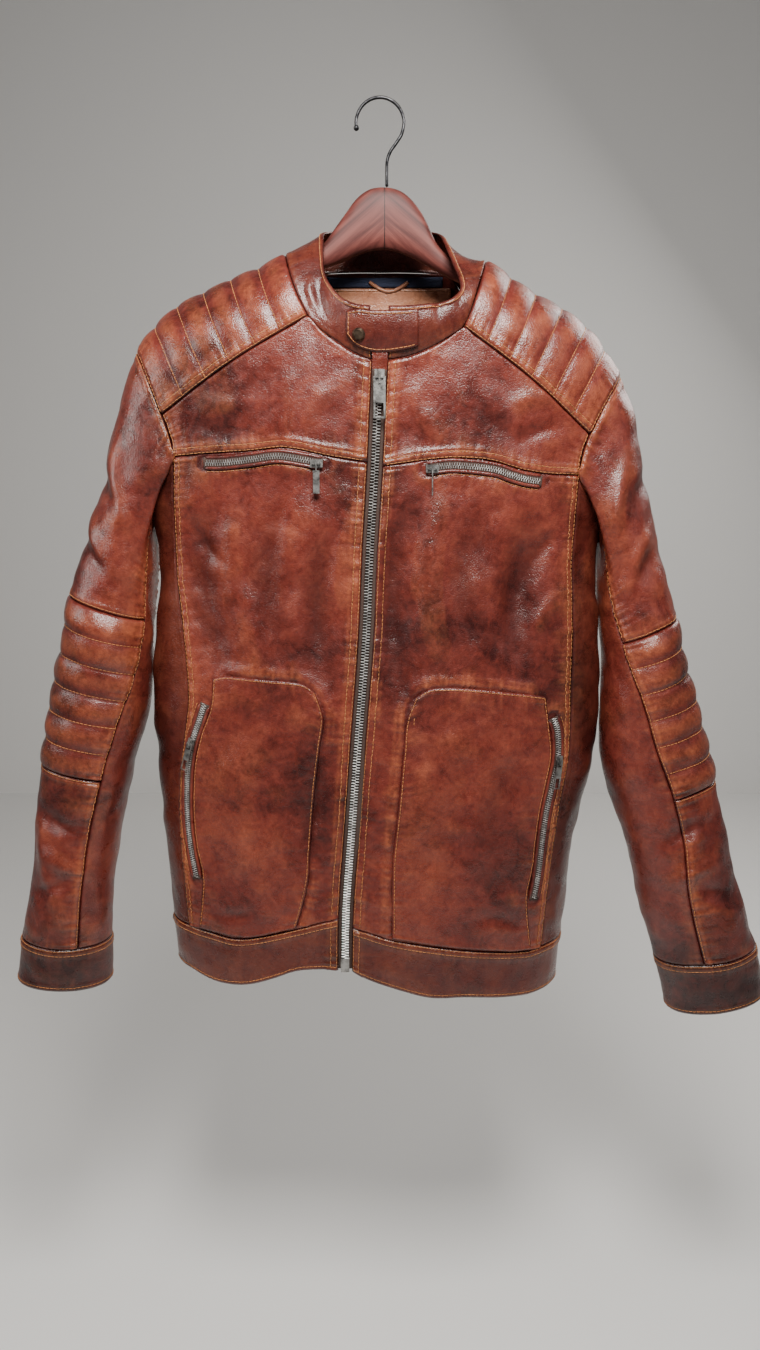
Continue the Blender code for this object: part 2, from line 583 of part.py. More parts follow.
def sleeve_grid(half, loop):
    """Grid of one sleeve: around from the shoulder over the front, and down to the cuff edge."""
    sign = half["sign"]
    around = len(loop)
    seam_index = YOKE_ROWS + CHEST_ROWS + UNDER_START
    outer = np.array(half["outer"])
    inner = np.array(half["inner"])
    elbow_top, elbow_low = half["elbow"]
    cuff_top, cuff_low = half["cuff"]
    heights = list(run([(0, outer[0, 1]), (0, elbow_top)], CAP_RINGS)[:, 1])
    heights[1] = outer[0, 1] * 0.86 + elbow_top * 0.14
    heights += list(np.linspace(elbow_top, elbow_low, RIB_RINGS + 1)[1:])
    heights += list(np.linspace(elbow_low, cuff_top, FOREARM_RINGS + 1)[1:])
    heights += list(np.linspace(cuff_top, cuff_low, CUFF_RINGS + 1)[1:])
    own_share = np.array([0, 0.42, 0.72, 0.92, 1.0] + [1.0] * len(heights))
    underarm = inner[0, 1]
    points = np.zeros((around, len(heights), 3))
    for k, height in enumerate(heights):
        top_x = float(smooth([(-z, x) for x, z in outer], -height))
        if k <= CAP_RINGS:
            elbow_drop = float(smooth(half["ring_drop"], elbow_top))
            low_z = underarm + (elbow_top - elbow_drop - underarm) * (k / CAP_RINGS) ** 1.15
        else:
            low_z = height - float(smooth(half["ring_drop"], height))
        low_x = float(smooth([(-z, x) for x, z in inner], -low_z))
        upper = np.array([sign * top_x, float(smooth(SLEEVE_FORWARD, height)), height])
        lower = np.array([sign * low_x, float(smooth(SLEEVE_FORWARD, low_z)), low_z])
        middle = (upper + lower) / 2
        half_axis = (upper - lower) / 2
        half_depth = float(smooth(SLEEVE_HALF_DEPTH, (height + low_z) / 2))
        turn_at_seam = math.radians(float(smooth(half["seam_turn"], height)))
        for i in range(around):
            mirrored = min(i, around - i)
            side = -1 if i <= around / 2 else 1
            if mirrored <= seam_index:
                turn = turn_at_seam * mirrored / seam_index
            else:
                turn = turn_at_seam + (math.pi - turn_at_seam) * (mirrored - seam_index) / (
                    around / 2 - seam_index)
            ring_point = middle + half_axis * math.cos(turn) + np.array(
                [0, side * half_depth * abs(math.sin(turn)) ** 0.95, 0])
            upward = (1 + math.cos(turn)) / 2
            first_upper = loop[0]
            first_lower = loop[around // 2]
            moved = loop[i] + (upper - first_upper) * upward + (lower - first_lower) * (1 - upward)
            own = own_share[k]
            points[i, k] = moved * (1 - own) + ring_point * own
    points[:, 0] = loop
    centre = points.mean(axis=0, keepdims=True)
    normals = loft_normals(points, True, centre)
    rings = points.shape[1]
    for share, turn_mid, slope, half_width, height in SLEEVE_FOLDS:
        for k in range(1, rings):
            part = k / (rings - 1)
            taper = math.exp(-(((part - share) / 0.10) ** 2))
            if k < 2 or taper < 0.02:
                continue
            for i in range(around):
                turn_here = 360 * i / around
                apart = (turn_here - (turn_mid + slope * (part - share)) + 180) % 360 - 180
                distance = math.radians(apart) * 0.05
                points[i, k] += normals[i, k] * height * taper * math.exp(
                    -((distance / half_width) ** 2))
    return points, normals


def add_mitres(loop, body_normals, own, own_normals, into_own, into_body):
    """Shared thickness directions along a seam where two forms meet at an angle."""
    for point, first, second, away, back in zip(loop, body_normals, own_normals, into_own, into_body):
        spread = first + second
        fork = away + back
        if np.dot(spread, fork) < 0:
            fork = -fork
        mitre = unit(spread + fork)
        reach = WALL / max(0.62, float(np.dot(mitre, first)))
        MITRES.append((point, mitre * reach))


def swept_strip(name, line, normals, sideways, profile, finish):
    """A strip of one profile carried along a line; profile is (sideways, outward) points."""
    bm = bmesh.new()
    rings = []
    for place, normal, side in zip(line, normals, sideways):
        rings.append([bm.verts.new(place + side * a + normal * b) for a, b in profile])
    count = len(profile)
    for first, second in zip(rings, rings[1:]):
        for k in range(count):
            m = (k + 1) % count
            bm.faces.new((first[k], first[m], second[m], second[k]))
    bm.faces.new(rings[0][::-1])
    bm.faces.new(rings[-1])
    obj = add_mesh(name, bm)
    obj.data.materials.append(finish_of(finish))
    return obj


def line_on_front(flat):
    """A line on the front with its outward and sideways directions."""
    points, normals = on_body(flat[None], -1)
    points, normals = points[0], normals[0]
    along = unit(np.gradient(points, axis=0))
    sideways = unit(np.cross(normals, along))
    return points, unit(np.cross(along, sideways)), sideways


def zip_profile(tape_half, chain_half, tape_low, tape_high, chain_high):
    """Hat-shaped section of a zip: flat tape with the closed chain on it."""
    return [(-tape_half, tape_low), (tape_half, tape_low), (tape_half, tape_high),
            (chain_half, tape_high), (chain_half, chain_high), (-chain_half, chain_high),
            (-chain_half, tape_high), (-tape_half, tape_high)]


def box_in(bm, frame, low, high):
    """A box between two corners of a local frame, added to a bmesh."""
    made = bmesh.ops.create_cube(bm, size=1.0)["verts"]
    for vert in made:
        place = [low[c] if vert.co[c] < 0 else high[c] for c in range(3)]
        vert.co = frame @ Vector(place)


def boolean_union(target, other):
    """Joins a second object into the first with a Boolean and removes it."""
    modifier = target.modifiers.new("join", "BOOLEAN")
    modifier.operation = "UNION"
    modifier.solver = "EXACT"
    modifier.object = other
    depsgraph = bpy.context.evaluated_depsgraph_get()
    joined = bpy.data.meshes.new_from_object(target.evaluated_get(depsgraph))
    target.modifiers.clear()
    target.data = joined
    bpy.data.objects.remove(other, do_unlink=True)


def local_frame(origin, across, up, out):
    """Matrix of a frame whose x is across, y is outward and z is up."""
    matrix = Matrix((across, out, up)).transposed().to_4x4()
    matrix.translation = origin
    return matrix


FACE_TRIM = 0.00002


def slab(name, frame, pieces, finish):
    """One solid from overlapping boxes, each a hair smaller so that no two faces coincide."""
    made = []
    for number, (low, high) in enumerate(pieces):
        bm = bmesh.new()
        trim = number * FACE_TRIM
        box_in(bm, frame, [c + trim for c in low], [c - trim for c in high])
        made.append(add_mesh(name if number == 0 else name + "_piece", bm))
    for other in made[1:]:
        boolean_union(made[0], other)
    made[0].data.materials.clear()
    made[0].data.materials.append(finish_of(finish))
    return made[0]


def place_on_axis(obj, frame):
    """Moves a pull's origin to its hinge, which lies along its frame's x."""
    obj.data.transform(Matrix.Translation(-frame.translation))
    obj.location = frame.translation


# Torso: point grids of both halves and of the back
HALVES = {"left": LEFT, "right": RIGHT}
grids = {side: body_half(half) for side, half in HALVES.items()}
back_panel, back_hem = back_grid(grids["left"], grids["right"])


def armhole_loop(side):
    """Seam loop of one armhole with its outward directions and directions into the body."""
    made = grids[side]
    yoke, yoke_normals = made["yoke"]
    chest, chest_normals = made["chest"]
    panel, panel_normals = made["side"]
    back, back_normals = back_panel
    edge = 0 if side == "left" else -1
    step = 1 if side == "left" else -2
    fronts = range(YOKE_ROWS, 0, -1)
    rows = [(yoke[-1, j], yoke_normals[-1, j], yoke[-2, j]) for j in fronts]
    rows += [(chest[0, j], chest_normals[0, j], chest[1, j]) for j in range(CHEST_ROWS)]
    rows += [(panel[i, 0], panel_normals[i, 0], panel[i, 1]) for i in range(SIDE_COLUMNS)]
    rows += [(back[edge, j], back_normals[edge, j], back[step, j]) for j in range(CHEST_ROWS, 0, -1)]
    rows += [(yoke[-1, j], yoke_normals[-1, j], yoke[-2, j])
             for j in range(2 * YOKE_ROWS, YOKE_ROWS, -1)]
    return [np.array(column) for column in zip(*rows)]


def neck_loop():
    """Neck seam from the left zip edge round the back to the right zip edge."""
    rows = []
    for side in ("left", "right"):
        chest, chest_normals = grids[side]["chest"]
        yoke, yoke_normals = grids[side]["yoke"]
        part = [(chest[i, 0], chest_normals[i, 0], chest[i, 1])
                for i in range(len(chest) - 1, YOKE_COLUMNS, -1)]
        part += [(yoke[0, j], yoke_normals[0, j], yoke[1, j]) for j in range(2 * YOKE_ROWS + 1)]
        if side == "left":
            back, back_normals = back_panel
            part += [(back[i, 0], back_normals[i, 0], back[i, 1])
                     for i in range(YOKE_COLUMNS + 1, YOKE_COLUMNS + BACK_NECK_COLUMNS)]
        else:
            part = part[::-1]
        rows += part
    return [np.array(column) for column in zip(*rows)]


def collar_grid(loop):
    """Collar band from the neck seam up to its top edge."""
    top = run(COLLAR_TOP, len(loop) - 1)
    rise = np.linspace(0, 1, COLLAR_ROWS + 1)[None, :, None]
    points = loop[:, None] * (1 - rise) + top[:, None] * rise
    centre = np.array([0.004, -0.015, 0])
    bulge = unit((points - centre) * (1, 1, 0)) * 0.004 * np.sin(rise * math.pi)
    points = points + bulge
    return points, loft_normals(points, False, points.mean(axis=(0, 1)))


sleeves = {}
for side_name, half_of_side in HALVES.items():
    seam_loop, seam_normals, seam_inner = armhole_loop(side_name)
    sleeve_points, sleeve_normals = sleeve_grid(half_of_side, seam_loop)
    sleeves[side_name] = (sleeve_points, sleeve_normals)
    add_mitres(seam_loop, seam_normals, sleeve_points, sleeve_normals[:, 0],
               unit(sleeve_points[:, 1] - seam_loop), unit(seam_inner - seam_loop))
neck_points, neck_normals, neck_inner = neck_loop()
collar_points, collar_normals = collar_grid(neck_points)
add_mitres(neck_points, neck_normals, collar_points, collar_normals[:, 0],
           unit(collar_points[:, 1] - neck_points), unit(neck_inner - neck_points))

# Shoulder yokes: quilted channels run over the shoulder from front to back
channel_wave = np.abs(np.sin(np.linspace(0, CHANNELS * math.pi, YOKE_COLUMNS + 1)))
yoke_fade = 1 - 0.75 * np.abs(np.linspace(-1, 1, 2 * YOKE_ROWS + 1)) ** 6
rib_wave = np.abs(np.sin(np.linspace(0, RIBS * math.pi, RIB_RINGS + 1)))
for side_name, made in grids.items():
    leather("yoke_" + side_name, *made["yoke"],
            relief=CHANNEL_HEIGHT * channel_wave[:, None] * yoke_fade[None])
    leather("chest_" + side_name, *made["chest"])
    leather("front_" + side_name, *made["front"])
    leather("side_" + side_name, *made["side"])
    hem_half_points = np.concatenate([made["hem_front"][0][::-1],
                                      made["hem_side"][0][1:SIDE_COLUMNS // 2 + 1]])
    hem_half_normals = np.concatenate([made["hem_front"][1][::-1],
                                       made["hem_side"][1][1:SIDE_COLUMNS // 2 + 1]])
    leather("hem_" + side_name, hem_half_points, hem_half_normals)
leather("back_panel", *back_panel)
middle = SIDE_COLUMNS // 2
hem_back = [np.concatenate([grids["left"]["hem_side"][n][middle:-1], back_hem[n],
                            grids["right"]["hem_side"][n][middle:-1][::-1]]) for n in (0, 1)]
leather("hem_back", *hem_back)

# Sleeves: upper sleeve, quilted elbow panel, forearm, under sleeve and cuff band
elbow_start = CAP_RINGS
elbow_end = CAP_RINGS + RIB_RINGS
cuff_start = elbow_end + FOREARM_RINGS
seam_at = YOKE_ROWS + CHEST_ROWS + UNDER_START
for side_name, (points, normals) in sleeves.items():
    count = len(points)
    over = [i % count for i in range(-seam_at, seam_at + 1)]
    under = list(range(seam_at, count - seam_at + 1))
    stretches = [("upper_sleeve_", over, 0, elbow_start), ("elbow_", over, elbow_start, elbow_end),
                 ("forearm_", over, elbow_end, cuff_start), ("under_sleeve_", under, 0, cuff_start)]
    for stem, columns, first, last in stretches:
        piece = points[columns][:, first:last + 1]
        relief = None
        if stem == "elbow_":
            ends = 1 - 0.8 * np.abs(np.linspace(-1, 1, len(columns))) ** 8
            relief = RIB_HEIGHT * ends[:, None] * rib_wave[None]
        leather(stem + side_name, piece, normals[columns][:, first:last + 1], relief)
    leather("cuff_" + side_name, points[:, cuff_start:], normals[:, cuff_start:], wrap=True)

# Collar band, with its front tab and snap
leather("collar_band", collar_points, collar_normals)


def collar_front(x, rise):
    """Point of the collar's front at a reach and a share of its height."""
    near = (np.abs(collar_points[:, 0, 0]) < 0.066) & (collar_points[:, 0, 1] < -0.03)
    near &= np.abs(collar_points[:, -1, 0]) < 0.066
    low = collar_points[near][:, 0]
    high = collar_points[near][:, -1]
    order_low = np.argsort(low[:, 0])
    order_high = np.argsort(high[:, 0])
    bottom = np.array([np.interp(x, low[order_low, 0], low[order_low, c]) for c in (1, 2)])
    top = np.array([np.interp(x, high[order_high, 0], high[order_high, c]) for c in (1, 2)])
    share = bottom * (1 - rise) + top * rise
    return np.array([x, share[0] - 0.004 * math.sin(rise * math.pi) - 0.0006, share[1]])


tab_across = np.linspace(TAB_REACH[0], TAB_REACH[1], 11)
tab_up = np.linspace(TAB_RISE[0], TAB_RISE[1], 4)
tab_points = np.zeros((11, 4, 3))
for i, x in enumerate(tab_across):
    squeeze = 1 if i > 1 else (0.62, 0.88)[i]
    for j, rise in enumerate(tab_up):
        tab_points[i, j] = collar_front(x, 0.52 + (rise - 0.52) * squeeze)
tab_normals = loft_normals(tab_points, False, np.array([0, 0, -0.23]))
laid_on("collar_tab", tab_points, tab_normals, LAID_ON, LAID_ON + 0.0024, "leather")

snap_x, snap_z = SNAP_PLACE
nearest = np.argmin(np.linalg.norm(tab_points[..., [0, 2]] - SNAP_PLACE, axis=-1))
snap_normal = Vector(tab_normals.reshape(-1, 3)[nearest])
snap_base = Vector(tab_points.reshape(-1, 3)[nearest])
snap_base.x = snap_x
snap_base.z = snap_z
snap_turn = Vector((0, 0, 1)).rotation_difference(snap_normal).to_matrix().to_4x4()
snap_bm = bmesh.new()
bmesh.ops.create_cone(snap_bm, cap_ends=True, segments=24, radius1=SNAP_RADIUS,
                      radius2=SNAP_RADIUS * 0.72, depth=0.0022)
bmesh.ops.transform(snap_bm, verts=snap_bm.verts,
                    matrix=Matrix.Translation(snap_base + snap_normal * 0.0045) @ snap_turn)
add_mesh("collar_snap", snap_bm).data.materials.append(finish_of("snap_bronze"))

# Inside the back neck: tape, facing and hang loop
def inside_back(low, high, reach, depth_low, depth_high, name, finish, columns):
    """A strip on the inside of the back between two heights."""
    across = np.linspace(reach[0], reach[1], columns)
    rows = np.linspace(high, low, 4)
    flat = np.stack(np.meshgrid(across, rows, indexing="ij"), axis=-1)
    points, normals = on_body(flat, 1)
    laid_on(name, points, normals, -depth_high, -depth_low, finish)
    return points, normals


inner_face = WALL + 0.0019
inside_back(-0.1660, -0.1560, (-0.056, 0.066), inner_face, inner_face + 0.0012,
            "neck_tape", "tape_navy", 9)
inside_back(-0.2150, -0.1664, (-0.070, 0.075), inner_face, inner_face + 0.0012,
            "neck_facing", "leather_tan", 11)
loop_across = np.linspace(-0.0115, 0.030, 13)
loop_dip = -0.1600 - 0.0095 * np.sin(np.linspace(0, 1, 13) * math.pi)
loop_points, loop_normals = on_body(np.stack([loop_across, loop_dip], -1)[None], 1)
loop_along = unit(np.gradient(loop_points[0], axis=0))
loop_side = unit(np.cross(loop_normals[0], loop_along))
loop_depth = inner_face + 0.0012 + LAID_ON
swept_strip("hang_loop", loop_points[0], loop_normals[0], loop_side,
            [(-0.002, -loop_depth - 0.0014), (0.002, -loop_depth - 0.0014),
             (0.002, -loop_depth), (-0.002, -loop_depth)], "leather_tan")

# Pocket panels laid on the lower fronts, with the zips beside and above them
POCKET_TO_HEM = 0.0022
for side_name, half in HALVES.items():
    zip_line = half_view(half, half["pocket_zip"])
    beside = zip_line.copy()
    beside[:, 0] -= half["sign"] * (SMALL_TAPE_HALF + 0.0026)
    hem_line = [(reach, height + POCKET_TO_HEM) for reach, height in half["hem_seam"]]
    low_end = [beside[-1][0] + half["sign"] * 0.006, 0]
    low_end[1] = float(smooth(hem_line, abs(low_end[0])))
    outer_edge = run([half_view(half, half["pocket_top"])[0]] + list(beside) + [low_end], 9)
    inner_edge = run(half_view(half, half["pocket_side"]), 9)
    top_edge = run(half_view(half, half["pocket_top"]), 8)
    reach = np.linspace(abs(outer_edge[-1][0]), abs(inner_edge[-1][0]), 9)
    low_edge = np.stack([half["sign"] * reach, smooth(hem_line, reach)], -1)
    inner_edge[-1] = low_edge[-1]
    panel = on_body(patch(top_edge, low_edge, outer_edge, inner_edge), -1)
    laid_on("pocket_panel_" + side_name, *panel, LAID_ON + 0.0002, LAID_ON + 0.0016, "leather")


def small_zip(name, flat, count):
    """A narrow zip laid along a line on the front."""
    line, normals, sideways = line_on_front(run(flat, count))
    profile = zip_profile(SMALL_TAPE_HALF, SMALL_CHAIN_HALF, LAID_ON + 0.0002, LAID_ON + 0.0010,
                          LAID_ON + 0.0022)
    swept_strip(name, line, normals, sideways, profile, "gunmetal")
    return line, normals


# Sliders with their pull tabs. A pull's solid turns about the bar that its slider's bridge holds.
BAR_RADIUS = 0.0008
FACE_TO_BAR = 0.0013
BRIDGE_HALF = 0.0010


def slider_with_bridge(name, frame, width, length, thick):
    """Slider body with an arch for the pull; the frame's origin is the bar's middle."""
    back = -FACE_TO_BAR
    reach = length * 0.36
    pieces = [((-width / 2, back - thick, -length / 2), (width / 2, back, length / 2)),
              ((-BRIDGE_HALF, back - 0.0005, reach - 0.001), (BRIDGE_HALF, 0.0022, reach + 0.0006)),
              ((-BRIDGE_HALF, back - 0.0005, -reach - 0.0006), (BRIDGE_HALF, 0.0022, -reach + 0.001)),
              ((-BRIDGE_HALF, 0.0013, -reach - 0.0006), (BRIDGE_HALF, 0.0023, reach + 0.0006))]
    return slab(name, frame, pieces, "gunmetal")


def pull_across(name, frame, width, length, plate):
    """Pull tab whose bar crosses the zip: bar, two legs and a plate with a window."""
    leg = width * 0.17
    window = 0.0066
    half = plate / 2
    pieces = [((-width / 2, -BAR_RADIUS, -BAR_RADIUS), (width / 2, BAR_RADIUS, BAR_RADIUS)),
              ((-width / 2, -half, -window), (-width / 2 + leg, half, 0.0002)),
              ((width / 2 - leg, -half, -window), (width / 2, half, 0.0002)),
              ((-width / 2, -half, -length * 0.62), (width / 2, half, -window + 0.0002)),
              ((-width / 2, -half, -length), (-width / 2 + leg, half, -length * 0.62 + 0.0002)),
              ((width / 2 - leg, -half, -length), (width / 2, half, -length * 0.62 + 0.0002)),
              ((-width / 2, -half, -length), (width / 2, half, -length + leg))]
    return slab(name, frame, pieces, "gunmetal")


def axis_frame(place, normal, along, height):
    """Frame of a slider: x across the zip, y outward, z up along the zip."""
    out = Vector(normal).normalized()
    up = Vector(along).normalized()
    up = (up - out * up.dot(out)).normalized()
    across = out.cross(up).normalized()
    return local_frame(Vector(place) + out * height, across, up, out)


main_heights = np.linspace(-0.262, -0.876, 21)
main_flat = np.stack([smooth([(z, x) for x, z in ZIP_LINE], main_heights), main_heights], -1)
main_line, main_normals, main_side = line_on_front(main_flat)
TAPE_LOW = -(WALL + 0.0018 + 0.0010)
swept_strip("main_zip", main_line, main_normals, main_side,
            zip_profile(TAPE_HALF, CHAIN_HALF, TAPE_LOW, TAPE_LOW + 0.0010, -0.0002), "gunmetal")
slider_frame = axis_frame(main_line[0] + (0, 0, -0.008), main_normals[0], (0, 0, 1),
                          0.0003 + MAIN_SLIDER[2] + FACE_TO_BAR)
slider_with_bridge("main_slider", slider_frame, *MAIN_SLIDER)
main_pull = pull_across("main_pull", slider_frame, *MAIN_PULL)
place_on_axis(main_pull, slider_frame)

for side_name, half in HALVES.items():
    sign = half["sign"]
    chest_line, chest_out = small_zip("chest_zip_" + side_name,
                                      half_view(half, half["chest_zip"])[::-1], 12)
    top_height = LAID_ON + 0.0022 + 0.0003
    start = Vector(chest_line[0]) + Vector((sign * 0.006, 0, 0))
    frame = axis_frame(start, chest_out[0], (0, 0, 1), top_height + 0.0016 + 0.0024)
    face = -0.0024
    lug = 0.0034
    bar = 0.0006
    body = [((-0.0062, face - 0.0016, -0.0038), (0.0062, face, 0.0038)),
            ((-lug - 0.0010, face - 0.0004, -0.0007), (-lug + 0.0002, 0.0007, 0.0007)),
            ((lug - 0.0002, face - 0.0004, -0.0007), (lug + 0.0010, 0.0007, 0.0007)),
            ((-lug, -bar, -bar), (lug, bar, bar))]
    slab("chest_slider_" + side_name, frame, body, "gunmetal")
    ring_in = 0.0010
    ring_out = 0.0016
    half_wire = 0.0006
    ring = [((-half_wire, -ring_out, ring_in), (half_wire, ring_out, ring_out)),
            ((-half_wire, -ring_out, -0.0062), (half_wire, -ring_in, ring_out)),
            ((-half_wire, ring_in, -0.0062), (half_wire, ring_out, ring_out)),
            ((-half_wire, -ring_out, -0.0072), (half_wire, ring_out, -0.0056))]
    if half["chest_pull_turned"]:
        ring.append(((-half_wire, -0.0021, -0.0260), (half_wire, 0.0030, -0.0066)))
    else:
        ring.append(((-0.0033, -half_wire, -0.0290), (0.0033, half_wire, -0.0066)))
    pull = slab("chest_pull_" + side_name, frame, ring, "gunmetal")
    place_on_axis(pull, frame)

    pocket_line, pocket_out = small_zip("pocket_zip_" + side_name,
                                        half_view(half, half["pocket_zip"]), 13)
    along = Vector(pocket_line[2]) - Vector(pocket_line[4])
    spot = Vector(pocket_line[3])
    frame = axis_frame(spot, pocket_out[3], along, top_height + POCKET_SLIDER[2] + FACE_TO_BAR)
    slider_with_bridge("pocket_slider_" + side_name, frame, *POCKET_SLIDER)
    pull = pull_across("pocket_pull_" + side_name, frame, *POCKET_PULL)
    place_on_axis(pull, frame)

# Bottom stop of the main zip, on the last teeth
stop_frame = axis_frame(main_line[-1] + (0, 0, 0.006), main_normals[-1], (0, 0, 1), 0.0004)
slab("zip_stop", stop_frame, [((-0.0045, 0, -0.0075), (0.0045, 0.0016, 0.0075))], "gunmetal")

# Hanger: contoured wooden arms under the shoulders, and a wire hook


def hanger_heights(x):
    """Top and bottom of the hanger at a place along it."""
    half = LEFT if x < 0 else RIGHT
    reach = abs(x)
    table = HANGER_TOP[half["sign"]]
    under_ridge = float(smooth(half["ridge"], reach)) - HANGER_UNDER_RIDGE
    if reach <= table[-1][0]:
        top = float(smooth(table, reach))
    else:
        mix = min(1, (reach - table[-1][0]) / 0.03)
        ridge_drop = float(smooth(half["ridge"], reach)) - float(smooth(half["ridge"], table[-1][0]))
        top = under_ridge * mix + min(table[-1][1] + ridge_drop, under_ridge) * (1 - mix)
    return top, float(smooth(HANGER_UNDER, x))


stations = np.concatenate([np.linspace(-HANGER_END, -0.06, 9), np.linspace(-0.045, 0.045, 7),
                           np.linspace(0.06, HANGER_END, 9)])
hanger_bm = bmesh.new()
hanger_rings = []
for x in stations:
    top, low = hanger_heights(x)
    rise = (top - low) / 2
    end_round = math.sqrt(max(0.15, 1 - max(0, (abs(x) - 0.200) / 0.030) ** 2))
    ring = []
    for turn in math.pi / 2 + np.linspace(0, 2 * math.pi, HANGER_SIDES, endpoint=False):
        power = 2 / 2.6
        side = math.copysign(abs(math.cos(turn)) ** power, math.cos(turn))
        tall = math.copysign(abs(math.sin(turn)) ** power, math.sin(turn))
        ring.append(hanger_bm.verts.new((x, side * HANGER_HALF_THICKNESS * end_round,
                                         top - rise + tall * rise)))
    hanger_rings.append(ring)
for first, second in zip(hanger_rings, hanger_rings[1:]):
    for k in range(HANGER_SIDES):
        m = (k + 1) % HANGER_SIDES
        hanger_bm.faces.new((first[k], first[m], second[m], second[k]))
hanger_bm.faces.new(hanger_rings[0][::-1])
hanger_bm.faces.new(hanger_rings[-1])
add_mesh("hanger_wood", hanger_bm).data.materials.append(finish_of("hanger_wood"))

arc_z = WIRE_RADIUS - HOOK_RADIUS
hook_path = [(STEM_X, -0.0805), (STEM_X, -0.0660), (0.0072, -0.0560), (0.0100, -0.0480),
             (0.0158, -0.0400), (0.0212, -0.0318)]
for turn in np.radians(np.linspace(0, 190, 15)):
    hook_path.append((HOOK_RADIUS * math.cos(turn), arc_z + HOOK_RADIUS * math.sin(turn)))
hook_path = run(hook_path, 23)
hook_bm = bmesh.new()
hook_rings = []
for place, along in zip(hook_path, unit(np.gradient(hook_path, axis=0))):
    ring = []
    for turn in np.linspace(0, 2 * math.pi, WIRE_SIDES, endpoint=False):
        side = WIRE_RADIUS * math.cos(turn)
        ring.append(hook_bm.verts.new((place[0] - along[1] * side, WIRE_RADIUS * math.sin(turn),
                                       place[1] + along[0] * side)))
    hook_rings.append(ring)
for first, second in zip(hook_rings, hook_rings[1:]):
    for k in range(WIRE_SIDES):
        m = (k + 1) % WIRE_SIDES
        hook_bm.faces.new((first[k], first[m], second[m], second[k]))
hook_bm.faces.new(hook_rings[0][::-1])
hook_bm.faces.new(hook_rings[-1])
hook = add_mesh("hanger_hook", hook_bm)
ball_bm = bmesh.new()
bmesh.ops.create_uvsphere(ball_bm, u_segments=12, v_segments=8, radius=0.0027)
bmesh.ops.translate(ball_bm, verts=ball_bm.verts, vec=(hook_path[-1][0], 0, hook_path[-1][1]))
boolean_union(hook, add_mesh("hook_ball", ball_bm))
hook.data.materials.clear()
hook.data.materials.append(finish_of("hook_wire"))
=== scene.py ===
"""Looks of the worn leather jacket on its wooden hanger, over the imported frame.

Metres, +Z up, the front faces -Y. Every leather piece is a thin shell on the form of its solid.
"""
import json
import math

import bmesh
import bpy
import numpy as np
from mathutils import Matrix, Vector, noise

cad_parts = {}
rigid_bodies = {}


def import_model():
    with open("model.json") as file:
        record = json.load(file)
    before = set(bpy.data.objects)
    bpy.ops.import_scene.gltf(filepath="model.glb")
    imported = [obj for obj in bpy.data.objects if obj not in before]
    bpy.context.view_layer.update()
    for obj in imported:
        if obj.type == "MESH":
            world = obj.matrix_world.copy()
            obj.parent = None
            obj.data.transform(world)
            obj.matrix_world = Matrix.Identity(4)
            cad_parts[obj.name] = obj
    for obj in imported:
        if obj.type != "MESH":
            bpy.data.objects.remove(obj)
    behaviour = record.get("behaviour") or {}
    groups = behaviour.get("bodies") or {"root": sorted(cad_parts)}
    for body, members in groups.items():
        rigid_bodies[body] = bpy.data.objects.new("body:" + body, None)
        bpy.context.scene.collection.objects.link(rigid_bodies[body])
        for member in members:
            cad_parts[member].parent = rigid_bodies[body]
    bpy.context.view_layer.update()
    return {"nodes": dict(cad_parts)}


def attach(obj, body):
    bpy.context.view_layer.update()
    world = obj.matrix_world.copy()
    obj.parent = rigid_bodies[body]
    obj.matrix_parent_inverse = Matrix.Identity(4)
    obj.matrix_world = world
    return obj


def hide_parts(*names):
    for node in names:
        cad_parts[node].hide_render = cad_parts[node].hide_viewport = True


for old in list(bpy.data.objects):
    bpy.data.objects.remove(old, do_unlink=True)
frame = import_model()

# Shoulder yokes: soft leather quilted over wadding in six channels from front to back, sewn to the
# chest, the back and the sleeves with gathered, double-stitched seams. The form of the whole body
# and the antiqued, rubbed brown leather are set out here, where they are first needed.

WALL = 0.0018
LAID_ON = 0.0006
CHANNELS = 6
RIBS = 6
YOKE_COLUMNS = 2 * CHANNELS
YOKE_ROWS = 4
NECK_COLUMNS = 4
BACK_NECK_COLUMNS = 6
CHEST_ROWS = 4
LOWER_ROWS = 12
HEM_ROWS = 2
SIDE_COLUMNS = 8
SIDE_POWER = 3.0
SHOULDER_ROUND = 0.070
FRONT_DEPTH = [(-0.92, 0.080), (-0.80, 0.080), (-0.65, 0.074), (-0.50, 0.068), (-0.35, 0.064),
               (-0.25, 0.066), (-0.12, 0.056)]
BACK_DEPTH = [(-0.92, 0.066), (-0.80, 0.064), (-0.65, 0.060), (-0.50, 0.056), (-0.35, 0.054),
              (-0.25, 0.052), (-0.12, 0.044)]
BACK_NECK_HEIGHT = -0.152
ZIP_LINE = [(0.000, -0.254), (-0.003, -0.310), (-0.005, -0.354), (-0.010, -0.435),
            (-0.014, -0.523), (-0.022, -0.625), (-0.029, -0.720), (-0.036, -0.820),
            (-0.037, -0.880)]
ZIP_SLOT = 0.0072
